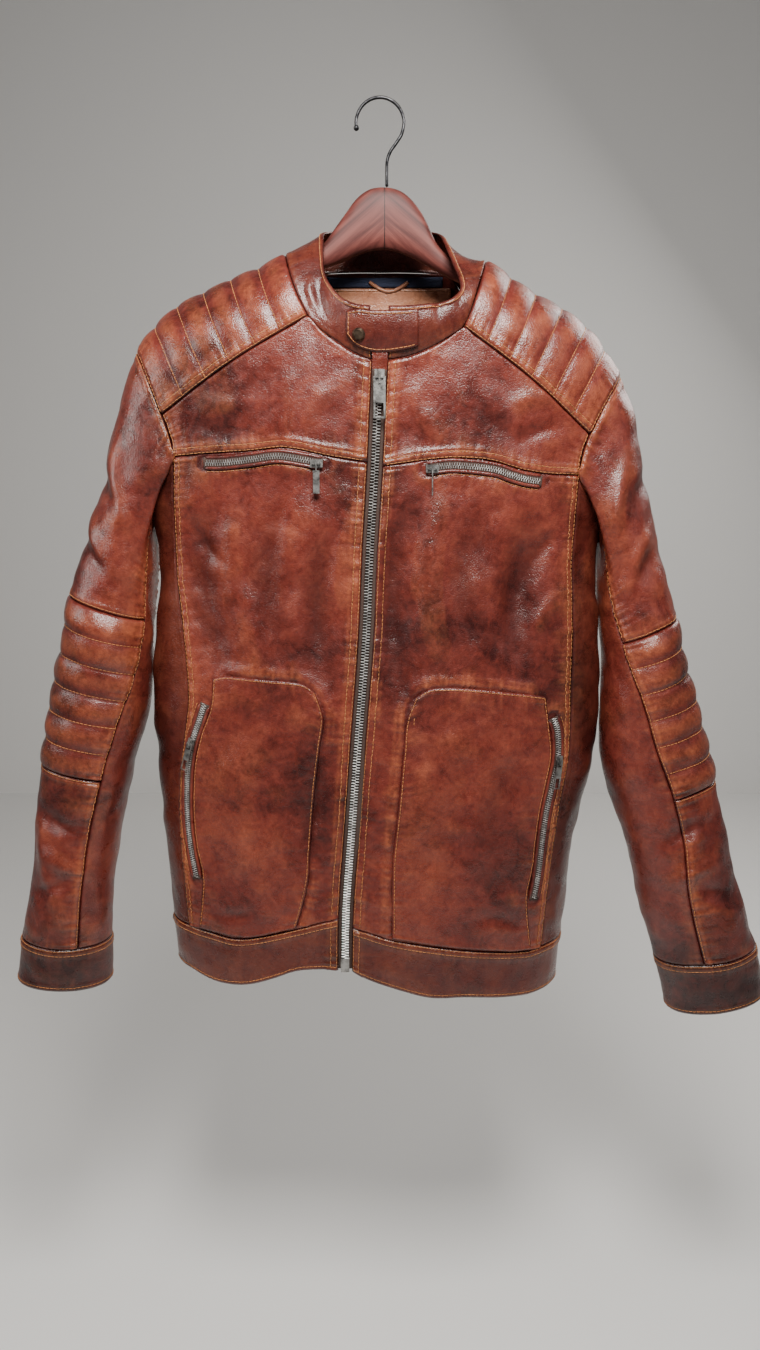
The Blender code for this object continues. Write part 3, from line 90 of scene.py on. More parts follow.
LEFT = {
    "sign": -1,
    "ridge": [(0.000, -0.108), (0.050, -0.124), (0.094, -0.145), (0.121, -0.158),
              (0.150, -0.170), (0.181, -0.184), (0.208, -0.198), (0.231, -0.219),
              (0.246, -0.238), (0.262, -0.262)],
    "width": [(-0.92, 0.226), (-0.86, 0.231), (-0.77, 0.236), (-0.71, 0.240), (-0.665, 0.243),
              (-0.60, 0.2445), (-0.54, 0.240), (-0.47, 0.2355), (-0.42, 0.2350), (-0.36, 0.256),
              (-0.28, 0.270), (-0.12, 0.278)],
    "neck": [(0.0945, -0.1452), (0.084, -0.180), (0.069, -0.213), (0.058, -0.225),
             (0.040, -0.238), (0.022, -0.249)],
    "armhole": [(0.246, -0.238), (0.235, -0.256), (0.225, -0.280), (0.216, -0.303),
                (0.208, -0.327), (0.206, -0.344)],
    "chest_seam": [(0.206, -0.344), (0.180, -0.342), (0.126, -0.339), (0.097, -0.336),
                   (0.074, -0.339), (0.051, -0.344)],
    "side_seam": [(0.206, -0.344), (0.208, -0.382), (0.209, -0.419), (0.208, -0.475),
                  (0.202, -0.530), (0.199, -0.590), (0.206, -0.640), (0.213, -0.700),
                  (0.213, -0.760), (0.208, -0.842)],
    "hem_seam": [(0.208, -0.842), (0.179, -0.844), (0.147, -0.846), (0.088, -0.831)],
    "hem_edge": [(0.208, -0.895), (0.176, -0.901), (0.144, -0.899), (0.114, -0.889),
                 (0.089, -0.879), (0.061, -0.876)],
    "zip_end": (-0.818, -0.877),
    "underarm": -0.408,
    "outer": [(0.246, -0.238), (0.266, -0.289), (0.279, -0.326), (0.290, -0.373),
              (0.302, -0.411), (0.325, -0.484), (0.334, -0.531), (0.349, -0.587),
              (0.359, -0.640), (0.367, -0.683), (0.375, -0.732), (0.381, -0.776),
              (0.388, -0.822), (0.396, -0.857), (0.403, -0.908)],
    "inner": [(0.2385, -0.408), (0.2380, -0.430), (0.2385, -0.465), (0.243, -0.530),
              (0.248, -0.590), (0.2555, -0.633), (0.266, -0.667), (0.273, -0.701),
              (0.283, -0.733), (0.291, -0.777), (0.298, -0.838), (0.300, -0.910)],
    "ring_drop": [(-0.92, 0.003), (-0.857, 0.006), (-0.662, 0.018), (-0.483, 0.028)],
    "seam_turn": [(-0.92, 118), (-0.80, 118), (-0.72, 120), (-0.66, 122), (-0.59, 128),
                  (-0.54, 142), (-0.49, 155), (-0.40, 150)],
    "elbow": (-0.483, -0.662),
    "cuff": (-0.857, -0.908),
    "pocket_top": [(0.171, -0.566), (0.160, -0.563), (0.113, -0.566), (0.081, -0.569),
                   (0.066, -0.578)],
    "pocket_side": [(0.066, -0.578), (0.0575, -0.597), (0.061, -0.634), (0.067, -0.680),
                    (0.072, -0.738), (0.075, -0.780), (0.088, -0.829)],
    "pocket_zip": [(0.180, -0.593), (0.188, -0.615), (0.196, -0.638), (0.201, -0.666),
                   (0.203, -0.696), (0.203, -0.727), (0.200, -0.755), (0.195, -0.785)],
    "chest_zip": [(0.174, -0.350), (0.154, -0.350), (0.126, -0.347), (0.104, -0.344),
                  (0.089, -0.345), (0.066, -0.349), (0.056, -0.351)],
}
RIGHT = {
    "sign": 1,
    "ridge": [(0.000, -0.108), (0.050, -0.125), (0.105, -0.151), (0.128, -0.167),
              (0.154, -0.182), (0.184, -0.198), (0.211, -0.218), (0.230, -0.241),
              (0.244, -0.262), (0.260, -0.288)],
    "width": [(-0.94, 0.198), (-0.88, 0.203), (-0.825, 0.208), (-0.76, 0.214), (-0.70, 0.224),
              (-0.66, 0.2345), (-0.60, 0.2355), (-0.54, 0.2335), (-0.48, 0.2300), (-0.43, 0.2285),
              (-0.37, 0.250), (-0.29, 0.266), (-0.12, 0.274)],
    "neck": [(0.1052, -0.1512), (0.093, -0.190), (0.080, -0.223), (0.066, -0.233),
             (0.048, -0.243), (0.026, -0.251)],
    "armhole": [(0.244, -0.262), (0.229, -0.283), (0.218, -0.302), (0.208, -0.322),
                (0.201, -0.344), (0.199, -0.362)],
    "chest_seam": [(0.199, -0.362), (0.167, -0.361), (0.144, -0.358), (0.129, -0.354),
                   (0.106, -0.348), (0.075, -0.346), (0.045, -0.348)],
    "side_seam": [(0.199, -0.362), (0.198, -0.400), (0.196, -0.446), (0.199, -0.527),
                  (0.198, -0.589), (0.199, -0.640), (0.191, -0.700), (0.182, -0.780),
                  (0.175, -0.864)],
    "hem_seam": [(0.175, -0.864), (0.163, -0.865), (0.114, -0.859), (0.066, -0.852),
                 (0.011, -0.842)],
    "hem_edge": [(0.175, -0.918), (0.165, -0.918), (0.127, -0.914), (0.091, -0.910),
                 (0.054, -0.909), (0.018, -0.899), (-0.012, -0.888)],
    "zip_end": (-0.828, -0.878),
    "underarm": -0.424,
    "outer": [(0.244, -0.262), (0.263, -0.308), (0.273, -0.350), (0.283, -0.394),
              (0.300, -0.467), (0.310, -0.506), (0.320, -0.540), (0.338, -0.605),
              (0.356, -0.664), (0.362, -0.687), (0.376, -0.732), (0.390, -0.790),
              (0.404, -0.830), (0.417, -0.868), (0.428, -0.926)],
    "inner": [(0.2325, -0.424), (0.2320, -0.450), (0.2335, -0.490), (0.237, -0.550),
              (0.239, -0.610), (0.240, -0.660), (0.252, -0.705), (0.262, -0.733),
              (0.275, -0.776), (0.288, -0.828), (0.305, -0.882), (0.321, -0.944)],
    "ring_drop": [(-0.94, 0.018), (-0.868, 0.018), (-0.682, 0.024), (-0.507, 0.030)],
    "seam_turn": [(-0.94, 104), (-0.87, 103), (-0.78, 99), (-0.69, 90), (-0.62, 98),
                  (-0.56, 112), (-0.52, 127), (-0.42, 146)],
    "elbow": (-0.507, -0.682),
    "cuff": (-0.868, -0.926),
    "pocket_top": [(0.170, -0.585), (0.153, -0.582), (0.085, -0.574), (0.050, -0.575),
                   (0.036, -0.583)],
    "pocket_side": [(0.036, -0.583), (0.028, -0.596), (0.026, -0.617), (0.022, -0.660),
                    (0.018, -0.707), (0.013, -0.756), (0.0125, -0.838)],
    "pocket_zip": [(0.179, -0.608), (0.184, -0.624), (0.185, -0.652), (0.180, -0.679),
                   (0.174, -0.712), (0.170, -0.750), (0.167, -0.782), (0.163, -0.806)],
    "chest_zip": [(0.160, -0.368), (0.144, -0.366), (0.129, -0.362), (0.114, -0.357),
                  (0.091, -0.354), (0.068, -0.353), (0.045, -0.356)],
}
FRONT_FOLDS = [
    ((-0.160, -0.400), (-0.150, -0.570), 0.020, -0.0045),
    ((-0.110, -0.385), (-0.104, -0.580), 0.018, 0.0040),
    ((-0.045, -0.390), (-0.040, -0.600), 0.017, -0.0045),
    ((-0.040, -0.640), (-0.052, -0.800), 0.012, 0.0030),
    ((0.028, -0.390), (0.030, -0.560), 0.017, -0.0045),
    ((0.085, -0.400), (0.095, -0.560), 0.020, 0.0040),
    ((0.150, -0.400), (0.140, -0.560), 0.018, -0.0040),
    ((-0.150, -0.620), (-0.130, -0.800), 0.020, 0.0030),
    ((0.120, -0.620), (0.100, -0.820), 0.020, 0.0030),
    ((0.060, -0.640), (0.050, -0.820), 0.017, -0.0030),
    ((-0.060, -0.270), (-0.130, -0.325), 0.014, 0.0030),
    ((0.070, -0.275), (0.135, -0.330), 0.014, 0.0030),
]
BACK_FOLDS = [
    ((-0.130, -0.360), (-0.150, -0.780), 0.024, 0.0060),
    ((-0.060, -0.300), (-0.070, -0.760), 0.026, -0.0060),
    ((0.010, -0.330), (0.000, -0.800), 0.024, 0.0060),
    ((0.080, -0.300), (0.085, -0.760), 0.026, -0.0060),
    ((0.140, -0.360), (0.130, -0.780), 0.022, 0.0050),
]
HALVES = {"left": LEFT, "right": RIGHT}
LEATHER_DARK = (0.036, 0.0062, 0.0052, 1)
LEATHER_MID = (0.125, 0.0205, 0.0140, 1)
LEATHER_WARM = (0.228, 0.0480, 0.0265, 1)
LEATHER_TAN = (0.460, 0.135, 0.0520, 1)
SHELL = 0.0016
SEAM_DEPTH = 0.0010
SEAM_HALF = 0.0010
# Share of the darkest brown that the dark end takes: dirt at seams and stitches, painted shade in
# the fold troughs.
DIRT_AND_SHADE_DARKENING = 0.75
BAND_START = (0.0004, 0.0022)
BAND_END = 0.003
GATHER_START = 0.0018
STITCH_DENT = 0.00045
STITCH_DENT_HALF = 0.0010
# Rubbing (lighter, above 0) and dirt (darker, below 0) that the finish reads, beside the seams and
# on the waves of the hide, with painted shade in the fold troughs and a painted highlight, partly
# rubbing, on the fold ridges; the full ones belong to these heights.
FULL_RISE = 0.0008
FULL_GATHER = 0.0016
FULL_FOLD = 0.0075
BAND_RUB = 0.17
GATHER_RUB = 0.44
STITCH_DIRT = 0.16
SEAM_DIRT = 0.75
# How far painted shade darkens the fold troughs, and how far a painted highlight, partly rubbing,
# lightens the fold ridges.
FOLD_SHADE = 0.90
FOLD_RUB_AND_HIGHLIGHT = 0.10
SLOW_RUB = 0.10
QUICK_RUB = 0.20
SLOW_WAVE = 0.055
QUICK_WAVE = 0.019
EDGE_STEP = 0.0011
EDGE_REACH = 0.0095
THREAD_RADIUS = 0.00040
STITCH_PITCH = 0.0042
# Bands beside a seam: (width, rise, height of its gathers, how far they run, rows of stitches).
BAND_WIDE = (0.0095, 0.0010, 0.0020, 0.015, (0.0022, 0.0080))
BAND_PLAIN = (0.0060, 0.0005, 0.0014, 0.012, (0.0030,))
SEAM_ONLY = (0.0040, 0.0001, 0.0008, 0.010, ())
CHANNEL_SWELL = 0.0031


def smooth(table, at):
    """Value of a (place, value) table at any place, on one smooth curve."""
    rows = sorted(table)
    places = np.array([row[0] for row in rows])
    values = np.array([row[1] for row in rows])
    slopes = np.gradient(values, places)
    at = np.clip(np.asarray(at, dtype=float), places[0], places[-1])
    low = np.clip(np.searchsorted(places, at) - 1, 0, len(places) - 2)
    span = places[low + 1] - places[low]
    t = (at - places[low]) / span
    return ((2 * t**3 - 3 * t**2 + 1) * values[low] + (t**3 - 2 * t**2 + t) * span * slopes[low]
            + (3 * t**2 - 2 * t**3) * values[low + 1] + (t**3 - t**2) * span * slopes[low + 1])


def run(points, count, first=0, last=None, eased=False):
    """Points at even spacing on the smooth curve through some points, between two of them."""
    control = np.array(points, dtype=float)
    last = len(control) - 1 if last is None else last
    dense = []
    for k in range(first, last):
        before = control[k - 1] if k > 0 else 2 * control[k] - control[k + 1]
        after = control[k + 2] if k + 2 < len(control) else 2 * control[k + 1] - control[k]
        for t in np.arange(24) / 24:
            dense.append(0.5 * (2 * control[k] + (control[k + 1] - before) * t
                                + (2 * before - 5 * control[k] + 4 * control[k + 1] - after) * t**2
                                + (3 * control[k] - before - 3 * control[k + 1] + after) * t**3))
    dense.append(control[last])
    dense = np.array(dense)
    travel = np.concatenate([[0], np.cumsum(np.linalg.norm(np.diff(dense, axis=0), axis=1))])
    share = np.linspace(0, 1, count + 1)
    if eased:
        share = 1 - np.cos(share * math.pi / 2)
    return np.array([[np.interp(s * travel[-1], travel, dense[:, c]) for c in range(dense.shape[1])]
                     for s in share])


def patch(top, bottom, left, right, down=None):
    """Grid of points between four edges that share their corners."""
    across = np.linspace(0, 1, len(top))[:, None, None]
    down = np.linspace(0, 1, len(left)) if down is None else down
    down = down[None, :, None]
    edges = ((1 - down) * top[:, None] + down * bottom[:, None]
             + (1 - across) * left[None] + across * right[None])
    corners = ((1 - across) * (1 - down) * top[0] + across * (1 - down) * top[-1]
               + (1 - across) * down * bottom[0] + across * down * bottom[-1])
    return edges - corners


def unit(vectors):
    """Vectors brought to length one."""
    return vectors / np.maximum(np.linalg.norm(vectors, axis=-1, keepdims=True), 1e-12)


def fullness(x, z):
    """Square of how full the body is at a place: nothing at the shoulder line and the sides."""
    reach = np.abs(x)
    width = np.where(x < 0, smooth(LEFT["width"], z), smooth(RIGHT["width"], z))
    ridge = np.where(x < 0, smooth(LEFT["ridge"], reach), smooth(RIGHT["ridge"], reach))
    side = 1 - (reach / width) ** SIDE_POWER
    drop = np.minimum((ridge - z) / SHOULDER_ROUND, 1)
    return side * (1 - (1 - drop) ** 2)


def depth_at(z, sheet):
    """Full depth of the front (-1) or the back (+1) at a height."""
    return smooth(FRONT_DEPTH if sheet < 0 else BACK_DEPTH, z)


def body_normal(points, sheet):
    """Outward direction of the body form, from its level surfaces."""
    def level(x, y, z):
        return y**2 - depth_at(z, sheet) ** 2 * fullness(x, z)
    x, y, z = points[..., 0], points[..., 1], points[..., 2]
    step = 0.0006
    return unit(np.stack([level(x + step, y, z) - level(x - step, y, z),
                          level(x, y + step, z) - level(x, y - step, z),
                          level(x, y, z + step) - level(x, y, z - step)], axis=-1))


def fold_height(points, sheet):
    """Height of the broad folds at a place on the front or the back."""
    total = np.zeros(points.shape[:-1])
    for start, end, half_width, height in (FRONT_FOLDS if sheet < 0 else BACK_FOLDS):
        start = np.array(start)
        run_of_fold = np.array(end) - start
        length = np.linalg.norm(run_of_fold)
        offset = points[..., [0, 2]] - start
        along = (offset @ run_of_fold) / length**2
        across = (offset[..., 0] * run_of_fold[1] - offset[..., 1] * run_of_fold[0]) / length
        taper = np.sin(np.clip(along, 0, 1) * math.pi) ** 2
        total += height * taper * np.exp(-((across / half_width) ** 2))
    return total


def on_body(flat, sheet):
    """Front-view points (x, z) placed on the body form, with their outward directions."""
    x, z = flat[..., 0], flat[..., 1]
    y = sheet * depth_at(z, sheet) * np.sqrt(np.maximum(fullness(x, z), 0))
    points = np.stack([x, y, z], axis=-1)
    normals = body_normal(points, sheet)
    return points + normals * fold_height(points, sheet)[..., None], normals


def half_view(half, points):
    """Outline points of one half as front-view points."""
    points = np.array(points, dtype=float)
    points[:, 0] *= half["sign"]
    return points


def zip_edge(half, top, bottom, count):
    """Front edge of one half beside the main zip, between two heights."""
    heights = np.linspace(top, bottom, count + 1)
    middle = smooth([(z, x) for x, z in ZIP_LINE], heights)
    return np.stack([middle + half["sign"] * ZIP_SLOT, heights], axis=-1)


def body_half(half):
    """Point grids of one half's yoke, chest, lower front, hem and side panel."""
    sign = half["sign"]
    grids = {}
    eased = 1 - np.cos(np.linspace(0, 1, YOKE_ROWS + 1) * math.pi / 2)
    neck_top = half["neck"][0]
    tip = half["armhole"][0]
    reach = np.linspace(neck_top[0], tip[0], 30)
    ridge = run(half_view(half, np.stack([reach, smooth(half["ridge"], reach)], -1)), YOKE_COLUMNS)
    neck_side = run(half_view(half, half["neck"]), YOKE_ROWS, 0, 2, eased=True)
    armhole = half_view(half, half["armhole"])
    arm_yoke = run(armhole, YOKE_ROWS, 0, 3, eased=True)
    arm_chest = run(armhole, CHEST_ROWS, 3, 5)
    corner = neck_side[-1]
    yoke_seam = run([corner, (corner * 0.5 + arm_yoke[-1] * 0.5) + (0, 0.004), arm_yoke[-1]],
                    YOKE_COLUMNS)
    neck_side[0, 1] = ridge[0, 1]
    arm_yoke[0, 1] = ridge[-1, 1]
    front_yoke = patch(ridge, yoke_seam, neck_side, arm_yoke, eased)

    neck_back = neck_side.copy()
    neck_back[:, 0] = sign * np.linspace(abs(neck_side[0, 0]), 0.072, YOKE_ROWS + 1)
    neck_back[:, 1] = neck_side[0, 1] + eased * (BACK_NECK_HEIGHT - 0.004 - neck_side[0, 1])
    back_yoke_seam = run([neck_back[-1], (neck_back[-1] + arm_yoke[-1]) / 2 + (0, 0.002),
                          arm_yoke[-1]], YOKE_COLUMNS)
    back_yoke = patch(ridge, back_yoke_seam, neck_back, arm_yoke, eased)
    front_points, front_normals = on_body(front_yoke, -1)
    back_points, back_normals = on_body(back_yoke, 1)
    grids["yoke"] = (np.concatenate([front_points[:, ::-1], back_points[:, 1:]], axis=1),
                     np.concatenate([front_normals[:, ::-1], back_normals[:, 1:]], axis=1))

    front_neck = half_view(half, half["neck"])
    edge_top = zip_edge(half, ZIP_LINE[0][1], half["chest_seam"][-1][1] - 0.006, CHEST_ROWS)
    neck_run = run(list(front_neck) + [edge_top[0]], NECK_COLUMNS, 2)
    top = np.concatenate([yoke_seam[::-1], neck_run[1:]])
    columns = len(top) - 1
    chest_seam = run(list(half_view(half, half["chest_seam"])) + [edge_top[-1]], columns)
    grids["chest"] = on_body(patch(top, chest_seam, arm_chest, edge_top), -1)

    side_seam = run(half_view(half, half["side_seam"]), LOWER_ROWS)
    hem_top, hem_bottom = half["zip_end"]
    edge_low = zip_edge(half, edge_top[-1, 1], hem_top, LOWER_ROWS)
    hem_seam = run(list(half_view(half, half["hem_seam"])) + [edge_low[-1]], columns)
    grids["front"] = on_body(patch(chest_seam, hem_seam, side_seam, edge_low), -1)

    edge_hem = zip_edge(half, hem_top, hem_bottom, HEM_ROWS)
    hem_edge = run(list(half_view(half, half["hem_edge"])) + [edge_hem[-1]], columns)
    hem_side = run([side_seam[-1], hem_edge[0]], HEM_ROWS)
    grids["hem_front"] = on_body(patch(hem_seam, hem_edge, hem_side, edge_hem), -1)

    grids["side"] = around_side(half, side_seam, half["underarm"])
    grids["hem_side"] = around_side(half, hem_side, None)
    grids["arm_chest"] = arm_chest
    grids["back_yoke_seam"] = back_yoke_seam
    grids["side_seam"] = side_seam
    grids["hem_side_line"] = hem_side
    return grids


def around_side(half, seam, underarm):
    """Grid round the side from the front side seam to the same line on the back."""
    sign = half["sign"]
    rows = len(seam)
    even = np.linspace(0, 1, SIDE_COLUMNS // 2 + 1)
    gathered = np.array([0, 0.45, 0.64, 0.82, 1.0])
    points = np.zeros((SIDE_COLUMNS + 1, rows, 3))
    normals = np.zeros_like(points)
    for j, (x, z) in enumerate(seam):
        start = math.asin((abs(x) / float(smooth(half["width"], z))) ** (SIDE_POWER / 2))
        mix = min(1, j / 3) if underarm else 1
        share = gathered * (1 - mix) + even * mix
        share = np.concatenate([share, 2 - share[-2::-1]])
        for i, part in enumerate(share):
            turn = start + part * (math.pi / 2 - start)
            if part > 1:
                turn = math.pi / 2 + (part - 1) * (math.pi / 2 - start)
            lift = z
            if underarm:
                dip = (1 - j / (rows - 1)) ** 3 * (underarm - seam[0][1])
                lift = z + dip * math.sin(min(part, 2 - part) * math.pi / 2) ** 1.5
            sheet = -1 if turn <= math.pi / 2 else 1
            width = float(smooth(half["width"], lift))
            place_x = sign * width * math.sin(turn) ** (2 / SIDE_POWER)
            full = max(float(fullness(np.array(place_x), np.array(lift))), 0)
            if i in (0, SIDE_COLUMNS):
                place_x = x
                full = float(fullness(np.array(x), np.array(z)))
            place_y = sheet * float(depth_at(lift, sheet)) * math.sqrt(full)
            point = np.array([place_x, place_y, lift])
            normal = body_normal(point[None], sheet)[0]
            points[i, j] = point + normal * float(fold_height(point[None], sheet)[0])
            normals[i, j] = normal
    return points, normals


def back_grid(left, right):
    """Grids of the back panel and of its hem, from the left half to the right half."""
    neck_left = left["back_yoke_seam"][0]
    neck_right = right["back_yoke_seam"][0]
    neck = run([neck_left, (-0.04, BACK_NECK_HEIGHT - 0.001), (0, BACK_NECK_HEIGHT),
                (0.04, BACK_NECK_HEIGHT - 0.001), neck_right], BACK_NECK_COLUMNS)
    top = np.concatenate([left["back_yoke_seam"][::-1], neck[1:-1], right["back_yoke_seam"]])
    left_edge = np.concatenate([left["arm_chest"], left["side_seam"][1:]])
    right_edge = np.concatenate([right["arm_chest"], right["side_seam"][1:]])
    middle_low = (-0.010, (left_edge[-1][1] + right_edge[-1][1]) / 2 - 0.004)
    seam = run([left_edge[-1], middle_low, right_edge[-1]], len(top) - 1)
    down = np.linspace(0, 1, CHEST_ROWS + LOWER_ROWS + 1)
    panel = on_body(patch(top, seam, left_edge, right_edge, down), 1)
    edge = run([left["hem_side_line"][-1], (-0.008, middle_low[1] - 0.055),
                right["hem_side_line"][-1]], len(top) - 1)
    hem = on_body(patch(seam, edge, left["hem_side_line"], right["hem_side_line"]), 1)
    return panel, hem


def between(values, at, wrap=False):
    """Rows of a grid at fractional places along its first axis, on smooth curves through them."""
    count = len(values)
    low = np.floor(at).astype(int)
    if not wrap:
        low = np.minimum(low, count - 2)
    t = (at - low).reshape((-1,) + (1,) * (values.ndim - 1))
    if wrap:
        a, b, c, d = [values[(low + k) % count] for k in (-1, 0, 1, 2)]
    else:
        before = 2 * values[:1] - values[1:2]
        after = 2 * values[-1:] - values[-2:-1]
        padded = np.concatenate([before, values, after])
        a, b, c, d = [padded[low + k] for k in (0, 1, 2, 3)]
    return 0.5 * (2 * b + (c - a) * t + (2 * a - 5 * b + 4 * c - d) * t**2
                  + (3 * b - a - 3 * c + d) * t**3)


def travel(points, axis):
    """Distance run along one axis of a grid, from its first row."""
    step = np.linalg.norm(np.diff(points, axis=axis), axis=-1)
    start = np.zeros_like(np.take(step, [0], axis=axis))
    return np.concatenate([start, np.cumsum(step, axis=axis)], axis=axis)


def stations(points, step, close_first, close_last, wrap=False):
    """Fractional rows for a grid's first axis: close together at its edges, wider inside."""
    if wrap:
        points = np.concatenate([points, points[:1]])
    run_mean = travel(points, 0).mean(axis=tuple(range(1, points.ndim - 1)))
    total = run_mean[-1]
    first = np.arange(0, EDGE_REACH, EDGE_STEP) if close_first else np.array([0.0])
    last = total - np.arange(0, EDGE_REACH, EDGE_STEP)[::-1] if close_last else np.array([total])
    if first[-1] + last[-1] - last[0] + EDGE_STEP > total:
        count = max(2, int(round(total / EDGE_STEP)))
        places = np.linspace(0, total, count + 1)
    else:
        inside = max(1, int(round((last[0] - first[-1]) / step)))
        places = np.concatenate([first, np.linspace(first[-1], last[0], inside + 1)[1:-1], last])
    at = np.interp(places, run_mean, np.arange(len(run_mean)))
    return at


def gathers(along, seed, pitch=0.0060):
    """Heights of the gathers along a seam, at uneven spacing."""
    rng = np.random.default_rng(seed)
    heights = np.zeros_like(along)
    place = rng.uniform(0, pitch)
    while place < along.max():
        size = rng.uniform(0.25, 1.0)
        width = rng.uniform(0.0012, 0.0022)
        heights += size * np.exp(-(((along - place) / width) ** 2))
        place += pitch * rng.uniform(0.55, 1.45)
    return np.minimum(heights, 1.25)


def ease(value, low, high):
    """Share from 0 to 1 of a value between two others, with soft ends."""
    t = np.clip((value - low) / (high - low), 0, 1)
    return t * t * (3 - 2 * t)


def band_relief(away, along, band, seed):
    """Height and rubbing of a seam's band at a distance from the seam."""
    width, rise, height, reach, rows = band
    folds = gathers(along, seed)
    flat = ease(away, *BAND_START) * (1 - ease(away, width, width + BAND_END))
    fade = (1 - np.exp(-((away / GATHER_START) ** 2))) * np.exp(-((away / reach) ** 1.6))
    relief = rise * flat + height * folds * fade
    rubbed = (flat * min(1, rise / FULL_RISE) * BAND_RUB
              + folds * fade * min(1, height / FULL_GATHER) * GATHER_RUB)
    for row in rows:
        dent = np.exp(-(((away - row) / STITCH_DENT_HALF) ** 2))
        relief -= STITCH_DENT * dent
        rubbed -= STITCH_DIRT * dent
    dip = np.exp(-((away / SEAM_HALF) ** 2))
    return relief - SEAM_DEPTH * dip, rubbed - SEAM_DIRT * dip


def line_relief(points, line, band, seed, clear=0.0):
    """Height and rubbing beside a line of (reach, height) points on the front or the back."""
    flat = points[..., [0, 2]]
    starts = line[:-1]
    runs = np.diff(line, axis=0)
    lengths = np.linalg.norm(runs, axis=1)
    done = np.concatenate([[0], np.cumsum(lengths)])
    best = np.full(flat.shape[:-1], 9.0)
    along = np.zeros(flat.shape[:-1])
    for start, step, length, before in zip(starts, runs, lengths, done):
        t = np.clip(((flat - start) @ step) / length**2, 0, 1)
        apart = np.linalg.norm(flat - start - t[..., None] * step, axis=-1)
        nearer = apart < best
        best = np.where(nearer, apart, best)
        along = np.where(nearer, before + t * length, along)
    relief, rubbed = band_relief(np.maximum(best - clear, 0), along, band, seed)
    keep = ease(best, clear * 0.5, clear + 0.0005) if clear else 1.0
    return relief * keep, rubbed * keep


def crease_relief(points, creases):
    """Height of the placed creases: (start, end, half width, height) in reach and height."""
    total = np.zeros(points.shape[:-1])
    for start, end, half_width, height in creases:
        start = np.array(start)
        reach = np.array(end) - start
        length = np.linalg.norm(reach)
        offset = points[..., [0, 2]] - start
        along = (offset @ reach) / length**2
        bow = 0.10 * length * np.sin(np.clip(along, 0, 1) * math.pi)
        across = (offset[..., 0] * reach[1] - offset[..., 1] * reach[0]) / length - bow
        taper = np.sin(np.clip(along, 0, 1) * math.pi) ** 1.4
        total += height * taper * np.exp(-((across / half_width) ** 2))
    return total


def rumple(points, size, seed):
    """Soft uneven waves of the hide, from -1 to 1."""
    shift = Vector((seed * 3.1, seed * 1.7, 0.4))
    flat = points.reshape(-1, 3) / size
    return np.array([noise.noise(Vector(p) + shift) for p in flat]).reshape(points.shape[:-1])


def shaped_grid(name, points, normals, wear_and_shade, wrap=False):
    """Mesh of a grid from the operator, each vertex moved to its place."""
    across, down = points.shape[:2]
    bm = bmesh.new()
    bmesh.ops.create_grid(bm, x_segments=across - 1, y_segments=down - 1, size=1.0)
    mesh = bpy.data.meshes.new(name)
    bm.to_mesh(mesh)
    bm.free()
    flat = np.empty(len(mesh.vertices) * 3)
    mesh.vertices.foreach_get("co", flat)
    flat = flat.reshape(-1, 3)
    column = np.rint((flat[:, 0] + 1) / 2 * (across - 1)).astype(int)
    row = np.rint((flat[:, 1] + 1) / 2 * (down - 1)).astype(int)
    mesh.vertices.foreach_set("co", points[column, row].ravel())
    mesh.update()
    facing = sum(face.normal.dot(Vector(normals[column[face.vertices[0]], row[face.vertices[0]]]))
                 for face in mesh.polygons)
    if facing < 0:
        mesh.flip_normals()
    if wear_and_shade is not None:
        marks = mesh.attributes.new("wear_and_shade", "FLOAT", "POINT")
        marks.data.foreach_set("value", wear_and_shade[column, row])
    if wrap:
        bm = bmesh.new()
        bm.from_mesh(mesh)
        bmesh.ops.remove_doubles(bm, verts=bm.verts, dist=1e-6)
        bm.to_mesh(mesh)
        bm.free()
    mesh.polygons.foreach_set("use_smooth", [True] * len(mesh.polygons))
    return mesh


def new_object(name, mesh, material):
    """Object of a mesh with one material, in the scene."""
    obj = bpy.data.objects.new(name, mesh)
    bpy.context.scene.collection.objects.link(obj)
    mesh.materials.clear()
    mesh.materials.append(material)
    return obj


def close_ends(mesh):
    """Fill the open ends of a tube and face it outwards."""
    bm = bmesh.new()
    bm.from_mesh(mesh)
    bmesh.ops.holes_fill(bm, edges=[e for e in bm.edges if e.is_boundary], sides=0)
    bmesh.ops.recalc_face_normals(bm, faces=bm.faces)
    bm.to_mesh(mesh)
    bm.free()


def tube_mesh(name, path, ups, wide, tall, sides=5):
    """Closed tube along a path, wide to its sides and tall along its ups."""
    along = unit(np.gradient(path, axis=0))
    sideways = unit(np.cross(ups, along))
    out = unit(np.cross(along, sideways))
    turns = np.linspace(0, 2 * math.pi, sides + 1)
    taper = np.ones(len(path))
    taper[0] = 0.02
    taper[-1] = 0.02
    rings = [path + (sideways * wide * math.cos(t) + out * tall * math.sin(t)) * taper[:, None]
             for t in turns]
    points = np.array(rings)
    points[-1] = points[0]
    mesh = shaped_grid(name, points, points - path[None], None, wrap=True)
    close_ends(mesh)
    return mesh


def joined(name, meshes, material):
    """One object from several meshes."""
    bm = bmesh.new()
    for mesh in meshes:
        bm.from_mesh(mesh)
        bpy.data.meshes.remove(mesh)
    mesh = bpy.data.meshes.new(name)
    bm.to_mesh(mesh)
    bm.free()
    mesh.polygons.foreach_set("use_smooth", [True] * len(mesh.polygons))
    return new_object(name, mesh, material)


